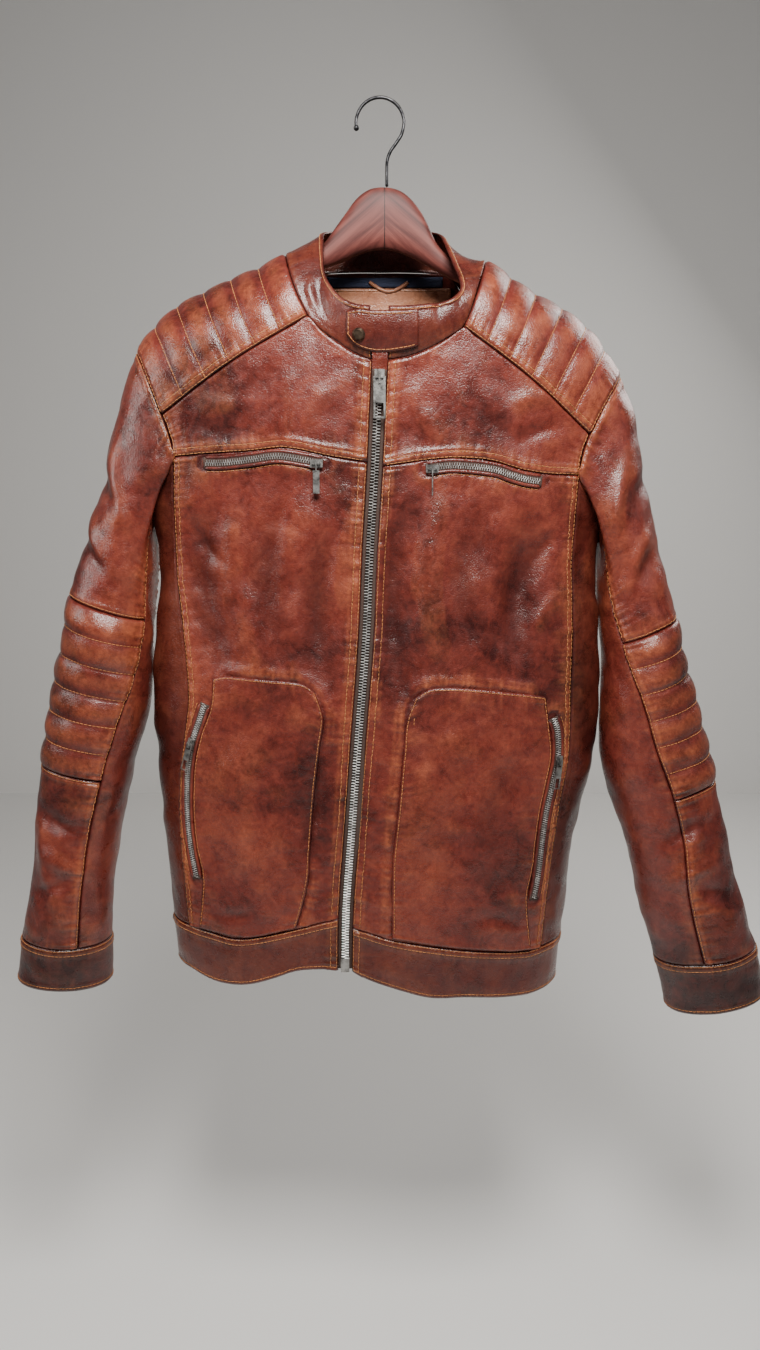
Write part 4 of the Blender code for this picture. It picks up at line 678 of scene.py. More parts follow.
def stitched(path, ups, pitch=STITCH_PITCH, radius=THREAD_RADIUS):
    """Thread that runs over the leather and down through its holes, along a path."""
    done = travel(path, 0)
    count = int((done[-1] - 0.004) / pitch)
    if count < 2:
        return []
    marks = []
    lifts = []
    for k in range(count):
        start = 0.002 + k * pitch
        for share, lift in ((0.06, -0.0006), (0.20, 0.00018), (0.52, 0.00034), (0.84, 0.00018)):
            marks.append(start + share * pitch)
            lifts.append(lift)
    marks = np.array(marks)
    place = np.stack([np.interp(marks, done, path[:, c]) for c in range(3)], -1)
    up = unit(np.stack([np.interp(marks, done, ups[:, c]) for c in range(3)], -1))
    return [tube_mesh("thread", place + up * np.array(lifts)[:, None], up, radius, radius, 4)]


def edge_path(points, normals, edge, away):
    """Line on a surface at a distance from one of its edges, with its outward directions."""
    if edge in ("top", "low"):
        points = points.transpose(1, 0, 2)
        normals = normals.transpose(1, 0, 2)
    if edge in ("last", "low"):
        points = points[::-1]
        normals = normals[::-1]
    runs = travel(points, 0)
    spots = []
    ups = []
    for k in range(points.shape[1]):
        spots.append([np.interp(away, runs[:, k], points[:, k, c]) for c in range(3)])
        ups.append([np.interp(away, runs[:, k], normals[:, k, c]) for c in range(3)])
    return np.array(spots), unit(np.array(ups))


def node(tree, kind):
    """Shader node, placed in a row in the order of making."""
    made = tree.nodes.new(kind)
    made.location = (180 * len(tree.nodes), 0)
    return made


def ramp(tree, stops):
    """Colour ramp with the given (place, colour) stops."""
    made = node(tree, "ShaderNodeValToRGB")
    band = made.color_ramp
    while len(band.elements) < len(stops):
        band.elements.new(0.5)
    for element, (place, colour) in zip(band.elements, stops):
        element.position = place
        element.color = colour
    return made


def darker(colour, share):
    """A colour with its light brought down to a share."""
    return tuple(part * share for part in colour[:3]) + (1,)


def shades(low, high):
    """Two grey stops for a ramp, from black to white."""
    return [(low, (0, 0, 0, 1)), (high, (1, 1, 1, 1))]


def mixed(tree, factor, first, second, blend="MIX"):
    """Colour mix of two sockets or colours by a socket or a number."""
    made = node(tree, "ShaderNodeMix")
    made.data_type = "RGBA"
    made.blend_type = blend
    for number, value in ((0, factor), (6, first), (7, second)):
        socket = made.inputs[number]
        if isinstance(value, bpy.types.NodeSocket):
            tree.links.new(value, socket)
        else:
            socket.default_value = value
    return made.outputs[2]


def noise_on(tree, coords, scale, detail=4.0, rough=0.55, distort=0.0):
    """Noise texture on the given coordinates."""
    made = node(tree, "ShaderNodeTexNoise")
    made.inputs["Scale"].default_value = scale
    made.inputs["Detail"].default_value = detail
    made.inputs["Roughness"].default_value = rough
    made.inputs["Distortion"].default_value = distort
    tree.links.new(coords, made.inputs["Vector"])
    return made.outputs["Fac"]


def start_material(name):
    """New node material: its tree, shader and object coordinates."""
    material = bpy.data.materials.new(name)
    material.use_nodes = True
    tree = material.node_tree
    shader = tree.nodes["Principled BSDF"]
    coords = node(tree, "ShaderNodeTexCoord").outputs["Object"]
    return material, tree, shader, coords


def bumped(tree, shader, layers):
    """Chain of bump nodes: (height socket, distance in metres, strength) for each layer."""
    last = None
    for socket, distance, strength in layers:
        bump = node(tree, "ShaderNodeBump")
        bump.inputs["Distance"].default_value = distance
        bump.inputs["Strength"].default_value = strength
        tree.links.new(socket, bump.inputs["Height"])
        if last is not None:
            tree.links.new(last, bump.inputs["Normal"])
        last = bump.outputs["Normal"]
    tree.links.new(last, shader.inputs["Normal"])


def maths(tree, operation, first, second=0.5, clamp=False):
    """Math node on sockets or numbers."""
    made = node(tree, "ShaderNodeMath")
    made.operation = operation
    made.use_clamp = clamp
    for socket, value in zip(made.inputs, (first, second)):
        if isinstance(value, bpy.types.NodeSocket):
            tree.links.new(value, socket)
        else:
            socket.default_value = value
    return made.outputs[0]


def leather_finish(name, dark, mid, warm, tan, rub=1.0):
    """Antiqued leather: mottled stain, rubbed high places, dark seams, painted shade in folds, fine
    grain, soft gloss.
    """
    material, tree, shader, coords = start_material(name)
    clouds = noise_on(tree, coords, 7.0, 3.0, 0.6, 0.4)
    mottle = noise_on(tree, coords, 38.0, 6.0, 0.68, 0.6)
    specks = noise_on(tree, coords, 230.0, 4.0, 0.6)
    grain = noise_on(tree, coords, 1150.0, 2.0, 0.5)
    lines = noise_on(tree, coords, 95.0, 5.0, 0.62, 0.7)
    pebble = node(tree, "ShaderNodeTexVoronoi")
    pebble.inputs["Scale"].default_value = 780.0
    tree.links.new(coords, pebble.inputs["Vector"])
    wear_and_shade = node(tree, "ShaderNodeAttribute")
    wear_and_shade.attribute_name = "wear_and_shade"
    wear_and_shade = wear_and_shade.outputs["Fac"]
    mix = maths(tree, "ADD", maths(tree, "MULTIPLY", clouds, 0.50),
                maths(tree, "MULTIPLY", mottle, 0.24))
    mix = maths(tree, "ADD", mix, maths(tree, "MULTIPLY", lines, 0.26))
    base = ramp(tree, [(0.38, dark), (0.50, mid), (0.65, warm)])
    tree.links.new(mix, base.inputs[0])
    colour = base.outputs[0]
    # Above zero the colour turns towards tan: rubbing, and a painted highlight on the fold ridges.
    high = maths(tree, "MULTIPLY", wear_and_shade, 1.25 * rub)
    high = maths(tree, "MULTIPLY_ADD", high, 1.0, clamp=True)
    high.node.inputs[2].default_value = -0.05
    broken = ramp(tree, shades(0.40, 0.62))
    tree.links.new(maths(tree, "ADD", maths(tree, "MULTIPLY", mottle, 0.6),
                         maths(tree, "MULTIPLY", specks, 0.4)), broken.inputs[0])
    part = maths(tree, "MULTIPLY_ADD", broken.outputs[0], 0.62)
    part.node.inputs[2].default_value = 0.34
    rubbed = maths(tree, "MULTIPLY", high, part, clamp=True)
    colour = mixed(tree, rubbed, colour, tan)
    # Below zero it turns towards the darkest brown: dirt at seams and stitches, painted shade in
    # the fold troughs.
    low = maths(tree, "MULTIPLY", wear_and_shade, -0.66, clamp=True)
    colour = mixed(tree, low, colour, darker(dark, DIRT_AND_SHADE_DARKENING))
    fleck = ramp(tree, [(0.30, (0.66, 0.62, 0.60, 1)), (0.72, (1.22, 1.20, 1.18, 1))])
    tree.links.new(specks, fleck.inputs[0])
    colour = mixed(tree, 0.55, colour, fleck.outputs[0], "MULTIPLY")
    tree.links.new(colour, shader.inputs["Base Color"])
    gloss = ramp(tree, [(0.30, (0.21, 0.21, 0.21, 1)), (0.75, (0.42, 0.42, 0.42, 1))])
    tree.links.new(mottle, gloss.inputs[0])
    tree.links.new(gloss.outputs[0], shader.inputs["Roughness"])
    shader.inputs["Specular IOR Level"].default_value = 0.55
    bumped(tree, shader, [(lines, 0.0007, 0.45), (specks, 0.00040, 0.75),
                          (pebble.outputs[0], 0.00030, 0.70), (grain, 0.00016, 0.50)])
    return material


def thread_finish(name, colour):
    """Waxed sewing thread, a little dirty."""
    material, tree, shader, coords = start_material(name)
    fuzz = noise_on(tree, coords, 900.0, 3.0)
    tone = ramp(tree, [(0.3, darker(colour, 0.45)), (0.7, colour)])
    tree.links.new(noise_on(tree, coords, 60.0, 4.0), tone.inputs[0])
    tree.links.new(tone.outputs[0], shader.inputs["Base Color"])
    shader.inputs["Roughness"].default_value = 0.62
    bumped(tree, shader, [(fuzz, 0.0001, 0.6)])
    return material


leather = leather_finish("worn brown leather", LEATHER_DARK, LEATHER_MID, LEATHER_WARM, LEATHER_TAN)
thread = thread_finish("tan thread", (0.500, 0.190, 0.058, 1))
surfaces = {}


def leather_piece(name, grid, bands, quilt=None, creases=(), lines=(), step=0.0028, wrap=False,
                  waves=0.0011, lift=0.0, shell=SHELL, material=leather,
                  sewn=(None, ())):
    """One sewn leather piece: its shell, the relief of its seams and creases, and its stitches."""
    base, out = grid
    seed = sum(ord(letter) for letter in name)
    across_at = stations(base, step, "first" in bands, "last" in bands, wrap)
    down_at = stations(base.transpose(1, 0, 2), step, "top" in bands, "low" in bands)
    points = between(between(base, across_at, wrap).transpose(1, 0, 2), down_at).transpose(1, 0, 2)
    normals = between(between(out, across_at, wrap).transpose(1, 0, 2), down_at)
    normals = unit(normals.transpose(1, 0, 2))
    if wrap:
        points[-1] = points[0]
        normals[-1] = normals[0]
    across = travel(points, 0)
    down = travel(points, 1)
    relief = np.full(points.shape[:2], float(lift))
    wear_and_shade = np.zeros(points.shape[:2])
    places = {"first": (across, down[:1]), "last": (across[-1:] - across, down[-1:]),
              "top": (down, across[:, :1]), "low": (down[:, -1:] - down, across[:, -1:])}
    for number, (edge, band) in enumerate(bands.items()):
        away, along = places[edge]
        height, rubbed = band_relief(away, along + np.zeros_like(away), band, seed + number)
        relief += height
        wear_and_shade += rubbed
    for number, (line, band, clear) in enumerate(lines):
        height, rubbed = line_relief(points, line, band, seed + 50 + number, clear)
        relief += height
        wear_and_shade += rubbed
    if quilt is not None:
        height, rubbed = quilt(across_at[:, None], down_at[None])
        relief += height
        wear_and_shade += rubbed
    folds = crease_relief(points, creases)
    relief += folds
    # Painted shade darkens the fold troughs, and a painted highlight, partly rubbing, lightens
    # their ridges.
    wear_and_shade += np.clip(folds / FULL_FOLD, -FOLD_SHADE, FOLD_RUB_AND_HIGHLIGHT)
    near = np.minimum(np.minimum(across, across[-1:] - across) if not wrap else 1.0,
                      np.minimum(down, down[:, -1:] - down))
    quiet = ease(near, 0.0, 0.02)
    slow = rumple(points, SLOW_WAVE, seed % 17)
    quick = rumple(points, QUICK_WAVE, seed % 23)
    relief += quiet * waves * (slow * 1.3 + quick * 0.6)
    wear_and_shade += SLOW_RUB * slow + QUICK_RUB * np.maximum(quick, 0)
    if wrap:
        relief[-1] = relief[0]
        wear_and_shade[-1] = wear_and_shade[0]
    outer = points + normals * relief[..., None]
    mesh = shaped_grid(name + "_leather", outer, normals, np.clip(wear_and_shade, -1.2, 1.2), wrap)
    obj = new_object(name + "_leather", mesh, material)
    wall = obj.modifiers.new("wall", "SOLIDIFY")
    wall.thickness = shell
    wall.offset = -1
    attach(obj, "garment")
    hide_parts(name)
    threads = []
    for edge, band in bands.items():
        for row in band[4]:
            path, ups = edge_path(outer, normals, edge, row)
            threads += stitched(path, ups)
    way, places = sewn
    for place in places:
        if way == "across":
            row = np.array([np.interp(place, across_at, np.arange(len(across_at)))])
            path, ups = between(outer, row)[0], between(normals, row)[0]
        else:
            row = np.array([np.interp(place, down_at, np.arange(len(down_at)))])
            path = between(outer.transpose(1, 0, 2), row)[0]
            ups = between(normals.transpose(1, 0, 2), row)[0]
        threads += stitched(path, unit(ups))
    if threads:
        sewing = joined(name + "_stitches", threads, thread)
        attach(sewing, "garment")
        threads = [sewing]
    surfaces[name] = (outer, normals)
    return obj


grids = {side: body_half(half) for side, half in HALVES.items()}
back_panel, back_hem = back_grid(grids["left"], grids["right"])


def quilt_wear(wave):
    """Rubbed tops and dark grooves of quilted leather, by the share of its swell."""
    return 0.24 * wave**4 - 0.30 * (1 - wave) ** 2


def channel_quilt(across, down):
    """Swell of the yoke's channels, which flatten towards the front and back seams."""
    wave = np.abs(np.sin(across / YOKE_COLUMNS * CHANNELS * math.pi)) ** 0.50
    fade = 1 - 0.55 * np.abs(down / YOKE_ROWS - 1) ** 8
    return CHANNEL_SWELL * wave * fade, quilt_wear(wave) * fade


for side in HALVES:
    leather_piece("yoke_" + side, grids[side]["yoke"],
                  {"first": SEAM_ONLY, "last": BAND_PLAIN, "top": BAND_WIDE, "low": BAND_WIDE},
                  quilt=channel_quilt, step=0.0025, waves=0.0010,
                  sewn=("across", range(2, YOKE_COLUMNS, 2)))


# Chest panels: one layer of leather below each yoke, with the neck seam and the zip's placket
# along their front edges and a gathered, double-stitched band above the chest zip.
PLACKET = (0.0115, 0.0011, 0.0023, 0.014, (0.0026, 0.0092))
CHEST_CREASES = [
    ((-0.196, -0.300), (-0.130, -0.322), 0.007, -0.0022),
    ((-0.190, -0.280), (-0.120, -0.292), 0.008, 0.0020),
    ((-0.090, -0.252), (-0.150, -0.330), 0.009, -0.0020),
    ((-0.030, -0.268), (-0.075, -0.325), 0.008, 0.0018),
    ((0.188, -0.315), (0.126, -0.338), 0.007, -0.0022),
    ((0.180, -0.290), (0.118, -0.300), 0.008, 0.0020),
    ((0.080, -0.262), (0.150, -0.340), 0.009, -0.0022),
    ((0.030, -0.272), (0.070, -0.335), 0.008, 0.0020),
]
for side in HALVES:
    leather_piece("chest_" + side, grids[side]["chest"],
                  {"first": BAND_PLAIN, "last": PLACKET, "top": SEAM_ONLY, "low": BAND_WIDE},
                  creases=CHEST_CREASES, waves=0.0013)

# Lower front panels: the broad plain leather of each front, hanging in soft folds, gathered at the
# chest zip, the side seam, the hem and the pocket, and stitched down beside the main zip.
ZIP_GATHERS = (0.0060, 0.0002, 0.0014, 0.010, ())
POCKET_BAND = (0.0100, 0.0009, 0.0016, 0.014, (0.0028, 0.0082))
FRONT_CREASES = [
    ((-0.196, -0.400), (-0.150, -0.455), 0.007, -0.0026),
    ((-0.200, -0.450), (-0.160, -0.520), 0.008, 0.0024),
    ((-0.128, -0.372), (-0.120, -0.500), 0.009, -0.0024),
    ((-0.078, -0.370), (-0.086, -0.470), 0.009, 0.0022),
    ((-0.020, -0.380), (-0.034, -0.520), 0.007, 0.0022),
    ((-0.062, -0.440), (-0.058, -0.580), 0.008, 0.0020),
    ((-0.190, -0.820), (-0.120, -0.806), 0.007, -0.0020),
    ((-0.052, -0.660), (-0.068, -0.770), 0.007, -0.0020),
    ((0.190, -0.410), (0.150, -0.470), 0.007, -0.0026),
    ((0.192, -0.470), (0.152, -0.540), 0.008, 0.0024),
    ((0.110, -0.378), (0.122, -0.510), 0.009, -0.0024),
    ((0.060, -0.375), (0.066, -0.480), 0.009, 0.0022),
    ((0.012, -0.385), (0.010, -0.540), 0.007, 0.0022),
    ((0.048, -0.450), (0.044, -0.575), 0.007, -0.0020),
    ((0.160, -0.840), (0.090, -0.820), 0.007, -0.0020),
    ((0.008, -0.640), (-0.006, -0.770), 0.007, -0.0018),
]
FRONT_DRAPE = [
    ((-0.172, -0.380), (-0.150, -0.580), 0.017, -0.0081),
    ((-0.134, -0.372), (-0.124, -0.570), 0.015, 0.0049),
    ((-0.090, -0.372), (-0.098, -0.560), 0.016, -0.0062),
    ((-0.040, -0.385), (-0.046, -0.610), 0.014, -0.0074),
    ((-0.047, -0.600), (-0.052, -0.800), 0.012, -0.0046),
    ((0.030, -0.378), (0.030, -0.600), 0.016, -0.0074),
    ((0.062, -0.376), (0.068, -0.560), 0.014, 0.0046),
    ((0.098, -0.372), (0.106, -0.560), 0.016, -0.0059),
    ((0.166, -0.386), (0.150, -0.580), 0.017, -0.0078),
    ((0.002, -0.590), (-0.010, -0.800), 0.012, -0.0046),
    ((-0.120, -0.600), (-0.150, -0.790), 0.018, 0.0041),
    ((0.090, -0.600), (0.060, -0.800), 0.018, 0.0041),
    ((0.150, -0.620), (0.120, -0.800), 0.016, -0.0041),
]
FRONT_CREASES += FRONT_DRAPE
SMALL_TAPE_HALF = 0.0042
pocket_outlines = {}
for side, half in HALVES.items():
    pocket_zip = run(half_view(half, half["pocket_zip"]), 24)
    chest_zip = run(half_view(half, half["chest_zip"]), 20)
    outline = np.concatenate([run(half_view(half, half["pocket_top"]), 14)[2:],
                              run(half_view(half, half["pocket_side"]), 24)[1:]])
    leather_piece("front_" + side, grids[side]["front"],
                  {"first": BAND_WIDE, "last": PLACKET, "top": SEAM_ONLY, "low": SEAM_ONLY},
                  creases=FRONT_CREASES, waves=0.0015,
                  lines=[(pocket_zip, ZIP_GATHERS, 0.0060), (chest_zip, ZIP_GATHERS, 0.0060),
                         (outline, POCKET_BAND, 0.0)])
    pocket_outlines[side] = outline

# Side panels: one plain piece from the front side seam round to the back one, closed under the arm
# and creased by the arm's swing, in a darker copy of the leather that is painted shade on the
# sides. The same darker copy, made here, also serves the trim.
TRIM_AND_SIDE_SHADE_SHARE = 0.60
trim_and_side_shade_leather = leather_finish("darker brown leather", *[darker(shade, TRIM_AND_SIDE_SHADE_SHARE) for shade in (
    LEATHER_DARK, LEATHER_MID, LEATHER_WARM, LEATHER_TAN)])
SIDE_CREASES = [((x * 0.225, z), (x * 0.240, z - 0.055), 0.009, h) for x in (-1, 1)
                for z, h in ((-0.45, -0.003), (-0.53, 0.0026), (-0.62, -0.0026), (-0.71, 0.0024))]
SIDE_CREASES += [((x * 0.240, -0.400), (x * 0.243, -0.700), 0.020, 0.0020) for x in (-1, 1)]
# The sides take the darker copy of the leather as painted shade.
for side in HALVES:
    leather_piece("side_" + side, grids[side]["side"],
                  {"first": SEAM_ONLY, "last": BAND_PLAIN, "top": SEAM_ONLY, "low": SEAM_ONLY},
                  creases=SIDE_CREASES, step=0.0040, waves=0.0018, material=trim_and_side_shade_leather)

# Back: one plain panel of the brown leather from yoke to hem, sewn to the yokes, the sides and
# the hem, with a few broad upright folds and slanting creases below the shoulders.
BACK_CREASES = [
    ((-0.190, -0.340), (-0.080, -0.400), 0.010, -0.0028),
    ((0.186, -0.350), (0.070, -0.410), 0.010, -0.0028),
    ((-0.150, -0.280), (-0.060, -0.310), 0.010, 0.0024),
    ((0.150, -0.290), (0.060, -0.320), 0.010, 0.0024),
    ((-0.195, -0.560), (-0.110, -0.590), 0.010, -0.0026),
    ((0.190, -0.580), (0.100, -0.600), 0.010, -0.0026),
    ((-0.100, -0.640), (-0.020, -0.655), 0.010, 0.0022),
    ((0.110, -0.690), (0.020, -0.700), 0.010, -0.0024),
    ((-0.170, -0.770), (-0.060, -0.790), 0.010, -0.0022),
    ((0.160, -0.780), (0.070, -0.800), 0.010, 0.0022),
]
leather_piece("back_panel", back_panel,
              {"first": BAND_PLAIN, "last": BAND_PLAIN, "top": SEAM_ONLY, "low": SEAM_ONLY},
              creases=BACK_CREASES, step=0.0045, waves=0.0017)

# Hem band: a doubled strip of the darker leather in three pieces, double-stitched along its top
# seam, with a folded and stitched lower edge that stays open round the wearer.
HEM_SEAM = (0.0080, 0.0009, 0.0016, 0.013, (0.0022, 0.0074))
HEM_EDGE = (0.0050, 0.0003, 0.0008, 0.014, (0.0045,))
middle = SIDE_COLUMNS // 2
for side, made in grids.items():
    strip = [np.concatenate([made["hem_front"][n][::-1], made["hem_side"][n][1:middle + 1]])
             for n in (0, 1)]
    leather_piece("hem_" + side, strip, {"first": PLACKET, "last": SEAM_ONLY, "top": HEM_SEAM,
                                         "low": HEM_EDGE}, waves=0.0012, material=trim_and_side_shade_leather)
strip = [np.concatenate([grids["left"]["hem_side"][n][middle:-1], back_hem[n],
                         grids["right"]["hem_side"][n][middle:-1][::-1]]) for n in (0, 1)]
leather_piece("hem_back", strip,
              {"first": SEAM_ONLY, "last": SEAM_ONLY, "top": HEM_SEAM, "low": HEM_EDGE},
              step=0.0042, waves=0.0012, material=trim_and_side_shade_leather)

# Sleeves: an upper sleeve, an elbow panel quilted in six ribs, a forearm and an under sleeve of
# soft leather, with a doubled cuff band. The front seam is gathered where it is sewn, and the
# sleeves hang empty with soft rings and hollows.
CAP_RINGS = 5
RIB_RINGS = 2 * RIBS
FOREARM_RINGS = 4
CUFF_RINGS = 2
UNDER_START = 1
SLEEVE_HALF_DEPTH = [(-0.93, 0.036), (-0.86, 0.040), (-0.75, 0.045), (-0.65, 0.051),
                     (-0.55, 0.053), (-0.45, 0.051), (-0.38, 0.048)]
SLEEVE_FORWARD = [(-0.93, -0.028), (-0.75, -0.019), (-0.60, -0.010), (-0.45, -0.004),
                  (-0.25, 0.000)]
SLEEVE_FOLDS = [(0.16, 60, 500, 0.030, -0.0040), (0.27, 70, 420, 0.030, 0.0035),
                (0.80, 60, -420, 0.028, -0.0035), (0.88, 90, 420, 0.028, 0.0030),
                (0.22, 250, -400, 0.034, -0.0040), (0.78, 280, 400, 0.030, -0.0035)]
RIB_SWELL = 0.0036
SLEEVE_SEAM = (0.0065, 0.0008, 0.0026, 0.016, (0.0030,))
CUFF_SEAM = (0.0085, 0.0008, 0.0015, 0.014, (0.0024, 0.0078))
CUFF_EDGE = (0.0060, 0.0004, 0.0007, 0.012, (0.0050,))
SLEEVE_CREASES = [
    ((-0.296, -0.330), (-0.256, -0.400), 0.009, -0.0051),
    ((-0.262, -0.300), (-0.248, -0.430), 0.008, 0.0042),
    ((-0.312, -0.410), (-0.270, -0.460), 0.009, -0.0045),
    ((-0.300, -0.380), (-0.262, -0.470), 0.008, 0.0036),
    ((-0.372, -0.700), (-0.300, -0.730), 0.009, -0.0045),
    ((-0.366, -0.740), (-0.300, -0.780), 0.009, 0.0042),
    ((-0.380, -0.800), (-0.318, -0.770), 0.008, -0.0039),
    ((-0.350, -0.670), (-0.326, -0.850), 0.008, 0.0036),
    ((0.286, -0.350), (0.250, -0.420), 0.009, -0.0051),
    ((0.258, -0.320), (0.244, -0.450), 0.008, 0.0042),
    ((0.296, -0.430), (0.256, -0.480), 0.009, -0.0045),
    ((0.290, -0.400), (0.250, -0.490), 0.008, 0.0036),
    ((0.360, -0.720), (0.290, -0.750), 0.009, -0.0045),
    ((0.372, -0.760), (0.300, -0.800), 0.009, 0.0042),
    ((0.392, -0.820), (0.330, -0.790), 0.008, -0.0039),
    ((0.350, -0.690), (0.336, -0.850), 0.008, 0.0036),
]
SLEEVE_CREASES += [((x * 0.242, -0.420), (x * 0.248, -0.660), 0.012, 0.0018) for x in (-1, 1)]


def loft_normals(points, wrap, centre):
    """Outward directions of a lofted grid, away from the given centres."""
    if wrap:
        padded = np.concatenate([points[-1:], points, points[:1]])
        around = np.gradient(padded, axis=0)[1:-1]
    else:
        around = np.gradient(points, axis=0)
    down = np.gradient(points, axis=1)
    normals = unit(np.cross(around, down))
    outward = np.sum(normals * (points - centre), axis=-1)
    return -normals if np.mean(outward) < 0 else normals


def armhole_loop(side):
    """Seam loop of one armhole with its outward directions and directions into the body."""
    made = grids[side]
    yoke, yoke_normals = made["yoke"]
    chest, chest_normals = made["chest"]
    panel, panel_normals = made["side"]
    back, back_normals = back_panel
    edge = 0 if side == "left" else -1
    step = 1 if side == "left" else -2
    fronts = range(YOKE_ROWS, 0, -1)
    rows = [(yoke[-1, j], yoke_normals[-1, j], yoke[-2, j]) for j in fronts]
    rows += [(chest[0, j], chest_normals[0, j], chest[1, j]) for j in range(CHEST_ROWS)]
    rows += [(panel[i, 0], panel_normals[i, 0], panel[i, 1]) for i in range(SIDE_COLUMNS)]
    rows += [(back[edge, j], back_normals[edge, j], back[step, j])
             for j in range(CHEST_ROWS, 0, -1)]
    rows += [(yoke[-1, j], yoke_normals[-1, j], yoke[-2, j])
             for j in range(2 * YOKE_ROWS, YOKE_ROWS, -1)]
    return [np.array(column) for column in zip(*rows)]


def sleeve_grid(half, loop):
    """Grid of one sleeve: around from the shoulder over the front, and down to the cuff edge."""
    sign = half["sign"]
    around = len(loop)
    seam_index = YOKE_ROWS + CHEST_ROWS + UNDER_START
    outer = np.array(half["outer"])
    inner = np.array(half["inner"])
    elbow_top, elbow_low = half["elbow"]
    cuff_top, cuff_low = half["cuff"]
    heights = list(run([(0, outer[0, 1]), (0, elbow_top)], CAP_RINGS)[:, 1])
    heights[1] = outer[0, 1] * 0.86 + elbow_top * 0.14
    heights += list(np.linspace(elbow_top, elbow_low, RIB_RINGS + 1)[1:])
    heights += list(np.linspace(elbow_low, cuff_top, FOREARM_RINGS + 1)[1:])
    heights += list(np.linspace(cuff_top, cuff_low, CUFF_RINGS + 1)[1:])
    own_share = np.array([0, 0.42, 0.72, 0.92, 1.0] + [1.0] * len(heights))
    underarm = inner[0, 1]
    points = np.zeros((around, len(heights), 3))
    for k, height in enumerate(heights):
        top_x = float(smooth([(-z, x) for x, z in outer], -height))
        if k <= CAP_RINGS:
            elbow_drop = float(smooth(half["ring_drop"], elbow_top))
            low_z = underarm + (elbow_top - elbow_drop - underarm) * (k / CAP_RINGS) ** 1.15
        else:
            low_z = height - float(smooth(half["ring_drop"], height))
        low_x = float(smooth([(-z, x) for x, z in inner], -low_z))
        upper = np.array([sign * top_x, float(smooth(SLEEVE_FORWARD, height)), height])
        lower = np.array([sign * low_x, float(smooth(SLEEVE_FORWARD, low_z)), low_z])
        middle = (upper + lower) / 2
        half_axis = (upper - lower) / 2
        half_depth = float(smooth(SLEEVE_HALF_DEPTH, (height + low_z) / 2))
        turn_at_seam = math.radians(float(smooth(half["seam_turn"], height)))
        for i in range(around):
            mirrored = min(i, around - i)
            side = -1 if i <= around / 2 else 1
            if mirrored <= seam_index:
                turn = turn_at_seam * mirrored / seam_index
            else:
                turn = turn_at_seam + (math.pi - turn_at_seam) * (mirrored - seam_index) / (
                    around / 2 - seam_index)
            ring_point = middle + half_axis * math.cos(turn) + np.array(
                [0, side * half_depth * abs(math.sin(turn)) ** 0.95, 0])
            upward = (1 + math.cos(turn)) / 2
            first_upper = loop[0]
            first_lower = loop[around // 2]
            moved = loop[i] + (upper - first_upper) * upward + (lower - first_lower) * (1 - upward)
            own = own_share[k]
            points[i, k] = moved * (1 - own) + ring_point * own
    points[:, 0] = loop
    centre = points.mean(axis=0, keepdims=True)
    normals = loft_normals(points, True, centre)
    rings = points.shape[1]
    for share, turn_mid, slope, half_width, height in SLEEVE_FOLDS:
        for k in range(1, rings):
            part = k / (rings - 1)
            taper = math.exp(-(((part - share) / 0.10) ** 2))
            if k < 2 or taper < 0.02:
                continue
            for i in range(around):
                turn_here = 360 * i / around
                apart = (turn_here - (turn_mid + slope * (part - share)) + 180) % 360 - 180
                distance = math.radians(apart) * 0.05
                points[i, k] += normals[i, k] * height * taper * math.exp(
                    -((distance / half_width) ** 2))
    return points, normals


def rib_quilt(across, down):
    """Swell of the elbow's ribs, which flatten towards its two long seams."""
    wave = np.abs(np.sin(down / RIB_RINGS * RIBS * math.pi)) ** 0.50
    columns = 2 * seam_at
    fade = 1 - 0.6 * np.abs(across / columns * 2 - 1) ** 8
    return RIB_SWELL * wave * fade, quilt_wear(wave) * fade


elbow_start = CAP_RINGS
elbow_end = CAP_RINGS + RIB_RINGS
cuff_start = elbow_end + FOREARM_RINGS
seam_at = YOKE_ROWS + CHEST_ROWS + UNDER_START
for side, half in HALVES.items():
    points, normals = sleeve_grid(half, armhole_loop(side)[0])
    count = len(points)
    over = [i % count for i in range(-seam_at, seam_at + 1)]
    under = list(range(seam_at, count - seam_at + 1))
    for stem, columns, first, last, top, low, quilt in (
            ("upper_sleeve_", over, 0, elbow_start, SLEEVE_SEAM, BAND_PLAIN, None),
            ("elbow_", over, elbow_start, elbow_end, SEAM_ONLY, SEAM_ONLY, rib_quilt),
            ("forearm_", over, elbow_end, cuff_start, BAND_PLAIN, SEAM_ONLY, None),
            ("under_sleeve_", under, 0, cuff_start, SEAM_ONLY, SEAM_ONLY, None)):
        part = [values[columns][:, first:last + 1] for values in (points, normals)]
        leather_piece(stem + side, part,
                      {"first": SEAM_ONLY, "last": SLEEVE_SEAM, "top": top, "low": low},
                      quilt=quilt, creases=SLEEVE_CREASES, waves=0.0019,
                      sewn=("down", range(2, RIB_RINGS, 2) if quilt else ()))
    leather_piece("cuff_" + side, (points[:, cuff_start:], normals[:, cuff_start:]),
                  {"top": CUFF_SEAM, "low": CUFF_EDGE}, wrap=True, waves=0.0013,
                  material=trim_and_side_shade_leather)

